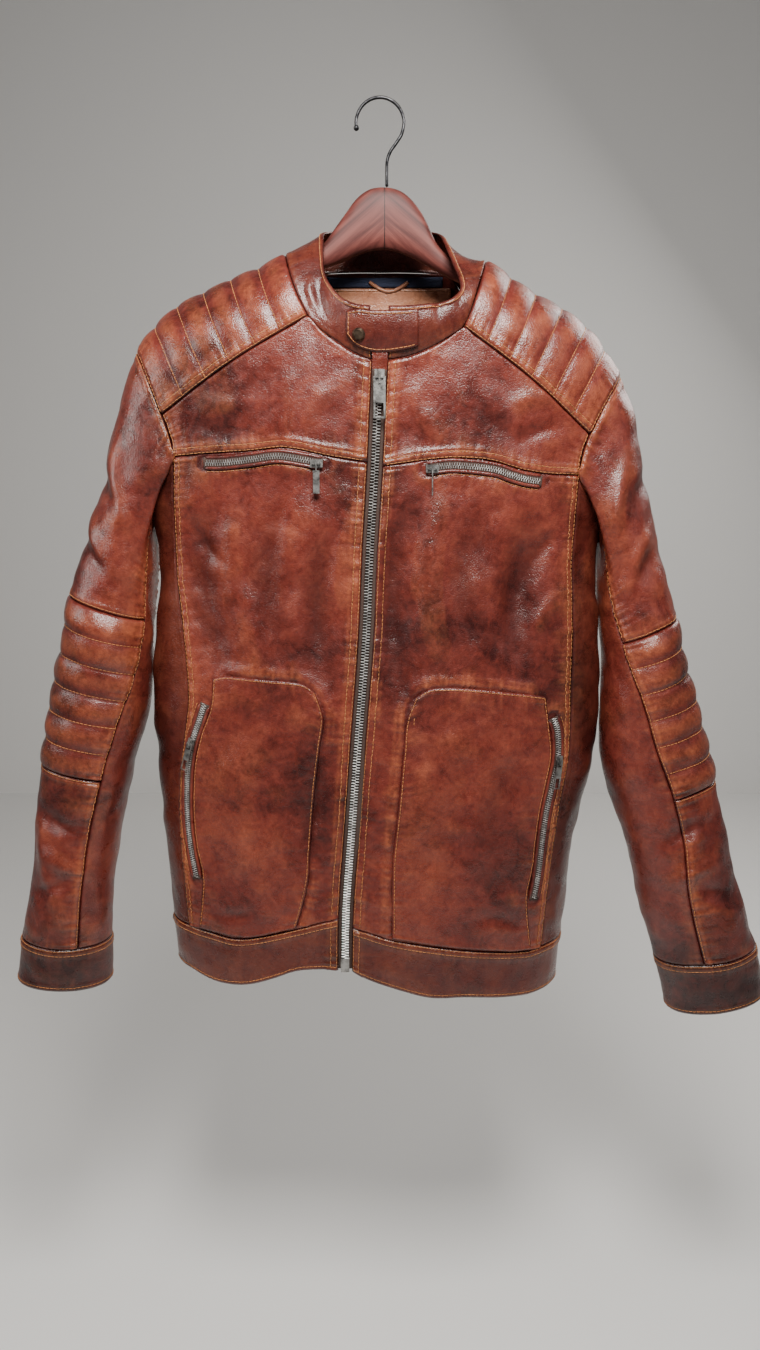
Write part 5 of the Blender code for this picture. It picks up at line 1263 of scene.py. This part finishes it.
# Collar: a doubled stand band sewn into the neck seam, stitched along its top edge, with a rounded
# tab from the right front that snaps over the left.
COLLAR_ROWS = 3
COLLAR_TOP = [(-0.009, -0.077, -0.206), (-0.031, -0.072, -0.201), (-0.046, -0.061, -0.186),
              (-0.053, -0.048, -0.170), (-0.055, -0.030, -0.148), (-0.056, -0.012, -0.129),
              (-0.054, 0.008, -0.120), (-0.038, 0.028, -0.114), (0.002, 0.038, -0.112),
              (0.040, 0.029, -0.114), (0.058, 0.010, -0.120), (0.063, -0.010, -0.131),
              (0.068, -0.030, -0.150), (0.074, -0.048, -0.172), (0.077, -0.059, -0.186),
              (0.066, -0.069, -0.199), (0.034, -0.075, -0.205), (0.008, -0.077, -0.206)]
TAB_REACH = (-0.0315, 0.036)
TAB_RISE = (0.14, 0.90)
NECK_SEAM = (0.0050, 0.0003, 0.0012, 0.016, ())
COLLAR_EDGE = (0.0034, 0.0009, 0.0005, 0.010, (0.0046,))
TAB_EDGE = (0.0030, 0.0004, 0.0003, 0.006, (0.0036,))
COLLAR_CREASES = [
    ((-0.058, -0.176), (-0.046, -0.222), 0.004, -0.0030),
    ((-0.066, -0.170), (-0.060, -0.210), 0.004, 0.0022),
    ((0.066, -0.178), (0.056, -0.224), 0.004, -0.0030),
    ((0.078, -0.170), (0.070, -0.212), 0.004, 0.0022),
]


def neck_loop():
    """Neck seam from the left zip edge round the back to the right zip edge."""
    rows = []
    for side in ("left", "right"):
        chest, chest_normals = grids[side]["chest"]
        yoke, yoke_normals = grids[side]["yoke"]
        part = [(chest[i, 0], chest_normals[i, 0], chest[i, 1])
                for i in range(len(chest) - 1, YOKE_COLUMNS, -1)]
        part += [(yoke[0, j], yoke_normals[0, j], yoke[1, j]) for j in range(2 * YOKE_ROWS + 1)]
        if side == "left":
            back, back_normals = back_panel
            part += [(back[i, 0], back_normals[i, 0], back[i, 1])
                     for i in range(YOKE_COLUMNS + 1, YOKE_COLUMNS + BACK_NECK_COLUMNS)]
        else:
            part = part[::-1]
        rows += part
    return [np.array(column) for column in zip(*rows)]


def collar_grid(loop):
    """Collar band from the neck seam up to its top edge."""
    top = run(COLLAR_TOP, len(loop) - 1)
    rise = np.linspace(0, 1, COLLAR_ROWS + 1)[None, :, None]
    points = loop[:, None] * (1 - rise) + top[:, None] * rise
    centre = np.array([0.004, -0.015, 0])
    bulge = unit((points - centre) * (1, 1, 0)) * 0.004 * np.sin(rise * math.pi)
    points = points + bulge
    return points, loft_normals(points, False, points.mean(axis=(0, 1)))


neck_points = neck_loop()[0]
collar_points, collar_normals = collar_grid(neck_points)
leather_piece("collar_band", (collar_points, collar_normals),
              {"first": BAND_PLAIN, "last": BAND_PLAIN, "top": NECK_SEAM, "low": COLLAR_EDGE},
              creases=COLLAR_CREASES, step=0.0026, waves=0.0010, material=trim_and_side_shade_leather)


def collar_front(x, rise):
    """Point of the collar's front at a reach and a share of its height."""
    near = (np.abs(collar_points[:, 0, 0]) < 0.066) & (collar_points[:, 0, 1] < -0.03)
    near &= np.abs(collar_points[:, -1, 0]) < 0.066
    low = collar_points[near][:, 0]
    high = collar_points[near][:, -1]
    order_low = np.argsort(low[:, 0])
    order_high = np.argsort(high[:, 0])
    bottom = np.array([np.interp(x, low[order_low, 0], low[order_low, c]) for c in (1, 2)])
    top = np.array([np.interp(x, high[order_high, 0], high[order_high, c]) for c in (1, 2)])
    share = bottom * (1 - rise) + top * rise
    return np.array([x, share[0] - 0.004 * math.sin(rise * math.pi) - 0.0006, share[1]])


tab_across = np.linspace(TAB_REACH[0], TAB_REACH[1], 11)
tab_up = np.linspace(TAB_RISE[0], TAB_RISE[1], 4)
tab_points = np.zeros((11, 4, 3))
for i, x in enumerate(tab_across):
    squeeze = 1 if i > 1 else (0.62, 0.88)[i]
    for j, rise in enumerate(tab_up):
        tab_points[i, j] = collar_front(x, 0.52 + (rise - 0.52) * squeeze)
tab_normals = loft_normals(tab_points, False, np.array([0, 0, -0.23]))
leather_piece("collar_tab", (tab_points, tab_normals),
              {"first": TAB_EDGE, "top": TAB_EDGE, "low": TAB_EDGE}, step=0.0020, waves=0.0005,
              lift=LAID_ON + 0.0024, shell=0.0022, material=trim_and_side_shade_leather)

# Inside the back neck: a navy woven tape, a plain tan leather facing below it, and a hang loop of
# the same tan leather that is caught at both ends under the tape.
NECK_TAPE_EDGE = (0.0020, 0.0002, 0.0002, 0.004, ())
FACING_EDGE = (0.0030, 0.0004, 0.0009, 0.012, (0.0030,))
LOOP_EDGE = (0.0010, 0.0001, 0.0001, 0.003, ())
INSIDE_BACK = WALL + 0.0019 + 0.0012
tan_leather = leather_finish("tan leather", (0.150, 0.052, 0.028, 1), (0.380, 0.155, 0.085, 1),
                             (0.520, 0.235, 0.130, 1), (0.620, 0.310, 0.170, 1), 0.6)


def woven_finish(name, dark, light, scale):
    """Flat woven tape: fine ribs across and along, in one colour with worn threads."""
    material, tree, shader, coords = start_material(name)
    warp = node(tree, "ShaderNodeTexWave")
    warp.inputs["Scale"].default_value = scale
    warp.bands_direction = "X"
    weft = node(tree, "ShaderNodeTexWave")
    weft.inputs["Scale"].default_value = scale
    weft.bands_direction = "Z"
    tree.links.new(coords, warp.inputs["Vector"])
    tree.links.new(coords, weft.inputs["Vector"])
    weave = maths(tree, "MULTIPLY", warp.outputs["Fac"], weft.outputs["Fac"])
    worn = noise_on(tree, coords, 90.0, 5.0)
    tone = ramp(tree, [(0.25, dark), (0.80, light)])
    tree.links.new(maths(tree, "MULTIPLY_ADD", worn, 0.7), tone.inputs[0])
    tree.links.new(tone.outputs[0], shader.inputs["Base Color"])
    shader.inputs["Roughness"].default_value = 0.85
    bumped(tree, shader, [(weave, 0.0003, 0.6)])
    return material


navy_tape = woven_finish("navy woven tape", (0.012, 0.016, 0.038, 1), (0.035, 0.045, 0.090, 1),
                         900.0)


def inside_grid(low, high, reach, columns):
    """Grid of a strip on the inside of the back between two heights."""
    flat = np.stack(np.meshgrid(np.linspace(reach[0], reach[1], columns), np.linspace(high, low, 4),
                                indexing="ij"), axis=-1)
    points, normals = on_body(flat, 1)
    return points - normals * INSIDE_BACK, -normals


leather_piece("neck_facing", inside_grid(-0.2150, -0.1664, (-0.070, 0.075), 11),
              {"top": FACING_EDGE, "low": NECK_TAPE_EDGE}, step=0.0024, waves=0.0011, shell=0.0011,
              material=tan_leather)
loop_across = np.linspace(-0.0115, 0.030, 13)
loop_dip = -0.1600 - 0.0095 * np.sin(np.linspace(0, 1, 13) * math.pi)
loop_points, loop_normals = on_body(np.stack([loop_across, loop_dip], -1)[None], 1)
loop_side = unit(np.cross(loop_normals[0], unit(np.gradient(loop_points[0], axis=0))))
loop_top = loop_points[0] - loop_normals[0] * (INSIDE_BACK + LAID_ON + 0.0014)
loop_grid = np.stack([loop_top + loop_side * w for w in (-0.002, -0.001, 0.001, 0.002)], axis=1)
loop_strip = leather_piece(
    "hang_loop", (loop_grid, -np.repeat(loop_normals[0][:, None], 4, axis=1)),
    {"top": LOOP_EDGE, "low": LOOP_EDGE}, step=0.0012, waves=0.0001, shell=0.0013,
    material=tan_leather)
leather_piece("neck_tape", inside_grid(-0.1660, -0.1560, (-0.056, 0.066), 9),
              {"top": NECK_TAPE_EDGE, "low": NECK_TAPE_EDGE}, step=0.0022, waves=0.0003,
              shell=0.0010, material=navy_tape)

# Pocket panels: a second layer of leather with a rounded corner, laid on each lower front beside
# the pocket zip and stitched down on three sides, with its lower edge in the hem seam.
POCKET_EDGE = (0.0035, 0.0003, 0.0010, 0.016, (0.0028,))
POCKET_TO_HEM = 0.0022
for side, half in HALVES.items():
    zip_line = half_view(half, half["pocket_zip"])
    beside = zip_line.copy()
    beside[:, 0] -= half["sign"] * (SMALL_TAPE_HALF + 0.0026)
    hem_line = [(reach, height + POCKET_TO_HEM) for reach, height in half["hem_seam"]]
    low_end = [beside[-1][0] + half["sign"] * 0.006, 0]
    low_end[1] = float(smooth(hem_line, abs(low_end[0])))
    outer_edge = run([half_view(half, half["pocket_top"])[0]] + list(beside) + [low_end], 9)
    inner_edge = run(half_view(half, half["pocket_side"]), 9)
    top_edge = run(half_view(half, half["pocket_top"]), 8)
    reach = np.linspace(abs(outer_edge[-1][0]), abs(inner_edge[-1][0]), 9)
    low_edge = np.stack([half["sign"] * reach, smooth(hem_line, reach)], -1)
    inner_edge[-1] = low_edge[-1]
    panel = on_body(patch(top_edge, low_edge, outer_edge, inner_edge), -1)
    leather_piece("pocket_panel_" + side, panel,
                  {"first": POCKET_EDGE, "last": POCKET_EDGE, "top": POCKET_EDGE, "low": SEAM_ONLY},
                  creases=FRONT_CREASES, waves=0.0014, lift=LAID_ON + 0.0020, shell=0.0013)

# Stitches that don't follow a panel's own edge: two rows beside each pocket panel and one beside
# each chest and pocket zip, in the same tan thread. They are set on the finished fronts.
ZIP_ROW_AWAY = 0.0085


def on_surface(name, flat):
    """Front-view points set on a finished leather surface, with its outward directions."""
    points, normals = surfaces[name]
    table = points.reshape(-1, 3)
    ups = normals.reshape(-1, 3)
    place = []
    out = []
    for x, z in flat:
        apart = (table[:, 0] - x) ** 2 + (table[:, 2] - z) ** 2
        near = np.argpartition(apart, 4)[:4]
        share = 1 / (apart[near] + 1e-7)
        place.append((x, float(np.sum(table[near, 1] * share) / share.sum()), z))
        out.append(ups[near[0]])
    return np.array(place), unit(np.array(out))


def shifted(flat, away):
    """A front-view line moved sideways by a distance."""
    along = unit(np.gradient(flat, axis=0))
    return flat + np.stack([-along[:, 1], along[:, 0]], -1) * away


for side, half in HALVES.items():
    rows = []
    outward = half["sign"]
    for away in POCKET_BAND[4]:
        outline = run(pocket_outlines[side], 120)
        rows += stitched(*on_surface("front_" + side, shifted(outline, away * outward)))
    for zip_name, count in (("pocket_zip", 100), ("chest_zip", 80)):
        dense = run(half_view(half, half[zip_name]), count)
        beside = shifted(dense, ZIP_ROW_AWAY * outward)
        rows += stitched(*on_surface("front_" + side, beside))
    sewing = joined("front_stitches_" + side, rows, thread)
    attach(sewing, "garment")


# Main zip: two dark woven tapes sewn behind the front edges, with silvered metal teeth closed along
# the middle from the collar to the hem. The woven finish is the neck tape's, in dark brown.


def line_on_front(flat):
    """A line on the front with its outward and sideways directions."""
    points, normals = on_body(flat[None], -1)
    points, normals = points[0], normals[0]
    along = unit(np.gradient(points, axis=0))
    sideways = unit(np.cross(normals, along))
    return points, unit(np.cross(along, sideways)), sideways


TAPE_HALF = 0.0125
MAIN_CHAIN_HALF = 0.0039
MAIN_TAPE_TOP = -(WALL + 0.0018)
MAIN_CHAIN_TOP = 0.0002
TAPE_THICKNESS = 0.0008
TOOTH_PITCH = 0.0030
tape_cloth = woven_finish("dark zip tape", (0.016, 0.010, 0.009, 1), (0.060, 0.034, 0.026, 1),
                          1100.0)


def metal_finish(name, dark, light, rough, metal=1.0):
    """Old plated metal: lighter and darker in uneven patches, with uneven shine."""
    material, tree, shader, coords = start_material(name)
    tone = ramp(tree, [(0.35, dark), (0.65, light)])
    tree.links.new(noise_on(tree, coords, 140.0, 4.0, 0.5), tone.inputs[0])
    tree.links.new(tone.outputs[0], shader.inputs["Base Color"])
    shine = ramp(tree, [(0.3, (rough,) * 3 + (1,)), (0.8, (rough + 0.22,) * 3 + (1,))])
    tree.links.new(noise_on(tree, coords, 700.0, 3.0), shine.inputs[0])
    tree.links.new(shine.outputs[0], shader.inputs["Roughness"])
    shader.inputs["Metallic"].default_value = metal
    bumped(tree, shader, [(noise_on(tree, coords, 1400.0, 3.0), 0.00004, 0.3)])
    return material


gunmetal = metal_finish("gunmetal", (0.150, 0.145, 0.138, 1), (0.480, 0.470, 0.450, 1), 0.26, 0.9)
tooth_metal = metal_finish("silvered teeth", (0.30, 0.29, 0.28, 1), (0.64, 0.63, 0.61, 1),
                           0.30, 0.75)
bronze = metal_finish("dark bronze", (0.045, 0.030, 0.022, 1), (0.210, 0.150, 0.105, 1), 0.30)


def zip_pieces(name, line, normals, sideways, tape_half, chain_half, tape_top, chain_top, pitch):
    """Tape and teeth of one closed zip along a line."""
    grid = np.stack([line + sideways * tape_half * w + normals * tape_top
                     for w in (-1, -0.5, 0, 0.5, 1)])
    outs = np.repeat(normals[None], 5, axis=0)
    dense = between(grid.transpose(1, 0, 2), np.linspace(0, len(line) - 1, 4 * len(line)))
    dense_out = between(outs.transpose(1, 0, 2), np.linspace(0, len(line) - 1, 4 * len(line)))
    tape = new_object(name + "_tape", shaped_grid(name + "_tape", dense.transpose(1, 0, 2),
                                                  dense_out.transpose(1, 0, 2), None), tape_cloth)
    wall = tape.modifiers.new("wall", "SOLIDIFY")
    wall.thickness = TAPE_THICKNESS
    wall.offset = -1
    done = travel(line, 0)
    bm = bmesh.new()
    count = int(done[-1] / pitch)
    low = tape_top - 0.0001
    for k in range(2 * count):
        at = (k + 0.5) * pitch / 2
        place = Vector([np.interp(at, done, line[:, c]) for c in range(3)])
        out = Vector([np.interp(at, done, normals[:, c]) for c in range(3)]).normalized()
        side = Vector([np.interp(at, done, sideways[:, c]) for c in range(3)]).normalized()
        along = out.cross(side).normalized()
        turn = Matrix((side, along, out)).transposed().to_4x4()
        hand = 1 if k % 2 else -1
        shape = Matrix.Diagonal((chain_half * 1.12, pitch * 0.30, chain_top - low, 1))
        centre = place + side * hand * chain_half * 0.44 + out * (chain_top + low) / 2
        bmesh.ops.create_cube(bm, size=1.0, matrix=Matrix.Translation(centre) @ turn @ shape)
    bmesh.ops.bevel(bm, geom=bm.edges[:], offset=pitch * 0.11, offset_type="OFFSET", segments=1,
                    profile=0.5, affect="EDGES", material=-1)
    mesh = bpy.data.meshes.new(name + "_teeth")
    bm.to_mesh(mesh)
    bm.free()
    teeth = new_object(name + "_teeth", mesh, tooth_metal)
    for piece in (tape, teeth):
        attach(piece, "garment")
        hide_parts(name)


heights = np.linspace(-0.262, -0.876, 61)
main_flat = np.stack([smooth([(z, x) for x, z in ZIP_LINE], heights), heights], -1)
zip_pieces("main_zip", *line_on_front(main_flat), TAPE_HALF, MAIN_CHAIN_HALF, MAIN_TAPE_TOP,
           MAIN_CHAIN_TOP, TOOTH_PITCH)

# Chest and pocket zips: narrow metal zips on short tapes, sewn into slits of the chest seam and of
# the lower fronts, which are edged with turned leather lips.
SMALL_PITCH = 0.0024
SEWN_TAPE_HALF = 0.0052
SHOWN_CHAIN_HALF = 0.0028
SMALL_TAPE_TOP = LAID_ON + 0.0010
SMALL_CHAIN_TOP = LAID_ON + 0.0022
LIP_AWAY = SMALL_TAPE_HALF + 0.0010
LIP_RISE = 0.0006
LIP_GATHER = 0.0005
LIP_WIDE = 0.0017
LIP_TALL = 0.0018
for side, half in HALVES.items():
    for stem, flat, count in (("chest_zip_", half_view(half, half["chest_zip"])[::-1], 36),
                              ("pocket_zip_", half_view(half, half["pocket_zip"]), 39)):
        line, normals, sideways = line_on_front(run(flat, count))
        zip_pieces(stem + side, line, normals, sideways, SEWN_TAPE_HALF, SHOWN_CHAIN_HALF,
                   SMALL_TAPE_TOP, SMALL_CHAIN_TOP, SMALL_PITCH)
        lips = []
        for hand in (-1, 1):
            folds = gathers(travel(line, 0), 7 + hand, 0.010)[:, None]
            path = line + sideways * hand * LIP_AWAY + normals * (LIP_RISE + LIP_GATHER * folds)
            lips.append(tube_mesh("lip", path, normals, LIP_WIDE, LIP_TALL, 10))
        lip = joined(stem + side + "_lips", lips, leather)
        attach(lip, "garment")

# Sliders, pulls and the bottom stop: cast gunmetal pieces, which their own solids show, with edges
# rounded by tumbling. Each pull hangs by its ring on the bar of its slider.
METAL_ROUND = 0.00022
SNAP_ROUND = 0.0005


def dress_metal(solid, metal, width, segments):
    """Metal and rounded edges on a solid."""
    for holder in solid.material_slots:
        holder.material = metal
    soft = solid.modifiers.new("rounded", "BEVEL")
    soft.width = width
    soft.segments = segments
    soft.limit_method = "ANGLE"


for name, solid in frame["nodes"].items():
    if "slider" in name or "pull" in name or name == "zip_stop":
        dress_metal(solid, gunmetal, METAL_ROUND, 2)

# Collar snap: a dark bronze cap with a rolled rim and a small dimple, riveted through the collar's
# tab. Its own solid shows, with a softer edge than the zips' metal.
dress_metal(frame["nodes"]["collar_snap"], bronze, SNAP_ROUND, 3)

# Hanger: two contoured arms of varnished reddish-brown wood, joined at the middle, and a black
# steel wire hook with a small ball at its tip, screwed into the joint.
HANGER_HALF_THICKNESS = 0.0085
HANGER_END = 0.226
HANGER_JOINT_X = 0.0046
HANGER_JOINT_HALF = 0.00045
ARM_SQUARENESS = 2 / 2.6
END_ROUND_FROM = 0.200
END_ROUND_LENGTH = 0.030
GRAIN_SLOPE = 38.0
HANGER_TOP = {-1: [(0.000, -0.0805), (0.010, -0.0825), (0.024, -0.092), (0.035, -0.106),
                   (0.045, -0.119), (0.054, -0.1310), (0.075, -0.1470), (0.094, -0.1570)],
              1: [(0.000, -0.0805), (0.012, -0.0815), (0.022, -0.085), (0.034, -0.095),
                  (0.045, -0.110), (0.056, -0.1320), (0.080, -0.1510), (0.105, -0.1640)]}
HANGER_UNDER = [(-0.226, -0.226), (-0.150, -0.196), (-0.051, -0.155), (0.004, -0.139),
                (0.070, -0.166), (0.150, -0.208), (0.226, -0.256)]
HANGER_UNDER_RIDGE = WALL + 0.0034


def hanger_heights(x):
    """Top and bottom of the hanger at a place along it."""
    half = LEFT if x < 0 else RIGHT
    reach = abs(x)
    table = HANGER_TOP[half["sign"]]
    under_ridge = float(smooth(half["ridge"], reach)) - HANGER_UNDER_RIDGE
    if reach <= table[-1][0]:
        top = float(smooth(table, reach))
    else:
        mix = min(1, (reach - table[-1][0]) / 0.03)
        ridge_drop = float(smooth(half["ridge"], reach) - smooth(half["ridge"], table[-1][0]))
        top = under_ridge * mix + min(table[-1][1] + ridge_drop, under_ridge) * (1 - mix)
    return top, float(smooth(HANGER_UNDER, x))


def wood_finish():
    """Varnished hardwood with long grain and a dark joint line."""
    material, tree, shader, coords = start_material("varnished wood")
    split = node(tree, "ShaderNodeSeparateXYZ")
    tree.links.new(coords, split.inputs[0])
    apart = maths(tree, "ABSOLUTE", maths(tree, "SUBTRACT",
                                                       split.outputs[0], HANGER_JOINT_X))
    mirrored = node(tree, "ShaderNodeCombineXYZ")
    tree.links.new(apart, mirrored.inputs[0])
    tree.links.new(split.outputs[1], mirrored.inputs[1])
    tree.links.new(split.outputs[2], mirrored.inputs[2])
    turned = node(tree, "ShaderNodeMapping")
    turned.inputs["Rotation"].default_value = (0.0, math.radians(-GRAIN_SLOPE), 0.0)
    tree.links.new(mirrored.outputs[0], turned.inputs["Vector"])
    stretch = node(tree, "ShaderNodeMapping")
    stretch.inputs["Scale"].default_value = (9.0, 110.0, 110.0)
    tree.links.new(turned.outputs[0], stretch.inputs["Vector"])
    streaks = noise_on(tree, stretch.outputs[0], 1.0, 8.0, 0.62, 0.8)
    tone = ramp(tree, [(0.30, (0.024, 0.007, 0.006, 1)), (0.50, (0.088, 0.023, 0.019, 1)),
                                  (0.70, (0.165, 0.050, 0.040, 1))])
    tree.links.new(streaks, tone.inputs[0])
    joint = maths(tree, "LESS_THAN", apart, HANGER_JOINT_HALF)
    colour = mixed(tree, joint, tone.outputs[0], (0.012, 0.005, 0.004, 1))
    tree.links.new(colour, shader.inputs["Base Color"])
    shader.inputs["Roughness"].default_value = 0.50
    shader.inputs["Specular IOR Level"].default_value = 0.22
    bumped(tree, shader, [(streaks, 0.0004, 0.25)])
    return material


stations_x = np.concatenate([np.linspace(-HANGER_END, -0.06, 50), np.linspace(-0.057, 0.057, 58),
                             np.linspace(0.06, HANGER_END, 50)])
turns = math.pi / 2 + np.linspace(0, 2 * math.pi, 33)
rings = []
for x in stations_x:
    top, under = hanger_heights(x)
    rise = (top - under) / 2
    end_round = math.sqrt(max(0.15, 1 - max(0, (abs(x) - END_ROUND_FROM) / END_ROUND_LENGTH) ** 2))
    side = np.sign(np.cos(turns)) * np.abs(np.cos(turns)) ** ARM_SQUARENESS
    tall = np.sign(np.sin(turns)) * np.abs(np.sin(turns)) ** ARM_SQUARENESS
    rings.append(np.stack([np.full(33, x), side * HANGER_HALF_THICKNESS * end_round,
                           top - rise + tall * rise], -1))
arm_points = np.array(rings).transpose(1, 0, 2)
arm_points[-1] = arm_points[0]
arm_mesh = shaped_grid("hanger_arms", arm_points, arm_points - arm_points.mean(axis=0)[None], None,
                       wrap=True)
close_ends(arm_mesh)
arms = new_object("hanger_arms", arm_mesh, wood_finish())
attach(arms, "garment")
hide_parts("hanger_wood")

WIRE_RADIUS = 0.0016
HOOK_RADIUS = 0.0236
STEM_X = 0.0068
BALL_RADIUS = 0.0027
arc_z = WIRE_RADIUS - HOOK_RADIUS
hook_path = [(STEM_X, -0.0805), (STEM_X, -0.0660), (0.0072, -0.0560), (0.0100, -0.0480),
             (0.0158, -0.0400), (0.0212, -0.0318)]
for turn in np.radians(np.linspace(0, 190, 15)):
    hook_path.append((HOOK_RADIUS * math.cos(turn), arc_z + HOOK_RADIUS * math.sin(turn)))
hook_path = run(hook_path, 110)
hook_line = np.stack([hook_path[:, 0], np.zeros(len(hook_path)), hook_path[:, 1]], -1)
steel = metal_finish("black steel wire", (0.010, 0.010, 0.011, 1), (0.055, 0.055, 0.058, 1), 0.30)
wire = tube_mesh("wire", hook_line, np.tile((0.0, 1.0, 0.0), (len(hook_line), 1)), WIRE_RADIUS,
                 WIRE_RADIUS, 20)
bm = bmesh.new()
bmesh.ops.create_uvsphere(bm, u_segments=32, v_segments=20, radius=BALL_RADIUS)
bmesh.ops.translate(bm, verts=bm.verts, vec=Vector(hook_line[-1]))
ball = bpy.data.meshes.new("ball")
bm.to_mesh(ball)
bm.free()
hook = joined("hanger_wire_hook", [wire, ball], steel)
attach(hook, "garment")
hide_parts("hanger_hook")


# Studio: a plain pale floor and backdrop, a soft key light from above, weak lights from the right,
# the left and behind, and the camera at the photograph's place and angle.
FLOOR_Z = -1.45
WALL_Y = 2.40
CAMERA = (0.0, -1.04, -0.384)
CAMERA_TILT = 10.3
CAMERA_LENS = 26.0
studio = bpy.data.materials.new("pale studio")
studio.use_nodes = True
studio_shader = studio.node_tree.nodes["Principled BSDF"]
studio_shader.inputs["Base Color"].default_value = (0.80, 0.79, 0.77, 1)
studio_shader.inputs["Roughness"].default_value = 0.9
for name, place, turn in (("studio_floor", (0, 0, FLOOR_Z), 0.0),
                          ("studio_backdrop", (0, WALL_Y, 0), 90.0)):
    bm = bmesh.new()
    bmesh.ops.create_grid(bm, x_segments=1, y_segments=1, size=5.0)
    bmesh.ops.rotate(bm, verts=bm.verts, matrix=Matrix.Rotation(math.radians(turn), 3, "X"))
    bmesh.ops.translate(bm, verts=bm.verts, vec=place)
    mesh = bpy.data.meshes.new(name)
    bm.to_mesh(mesh)
    bm.free()
    new_object(name, mesh, studio)

LIGHTS = [("key_light", (0.05, -0.80, 0.40), 0.45, 33.0, (1.0, 0.97, 0.93)),
          ("fill_light", (1.4, -1.2, 0.5), 1.2, 3.0, (0.94, 0.97, 1.0)),
          ("left_light", (-1.25, -0.50, 0.05), 0.6, 9.0, (1.0, 0.96, 0.92)),
          ("back_light", (1.6, 1.25, 0.8), 1.2, 34.0, (1.0, 0.97, 0.93))]
for name, place, size, power, colour in LIGHTS:
    lamp = bpy.data.lights.new(name, "AREA")
    lamp.size = size
    lamp.energy = power
    lamp.color = colour
    light = bpy.data.objects.new(name, lamp)
    light.location = place
    aim = Vector((0, 0, -0.5)) - Vector(place)
    light.rotation_euler = aim.to_track_quat("-Z", "Y").to_euler()
    bpy.context.scene.collection.objects.link(light)
world = bpy.data.worlds.new("soft room")
world.use_nodes = True
world.node_tree.nodes["Background"].inputs["Color"].default_value = (0.80, 0.80, 0.82, 1)
world.node_tree.nodes["Background"].inputs["Strength"].default_value = 0.12
bpy.context.scene.world = world

lens = bpy.data.cameras.new("camera")
lens.lens = CAMERA_LENS
lens.sensor_width = 36.0
lens.sensor_fit = "AUTO"
lens.clip_start = 0.01
camera = bpy.data.objects.new("camera", lens)
camera.location = CAMERA
camera.rotation_euler = (math.radians(90.0 - CAMERA_TILT), 0, 0)
bpy.context.scene.collection.objects.link(camera)
bpy.context.scene.camera = camera
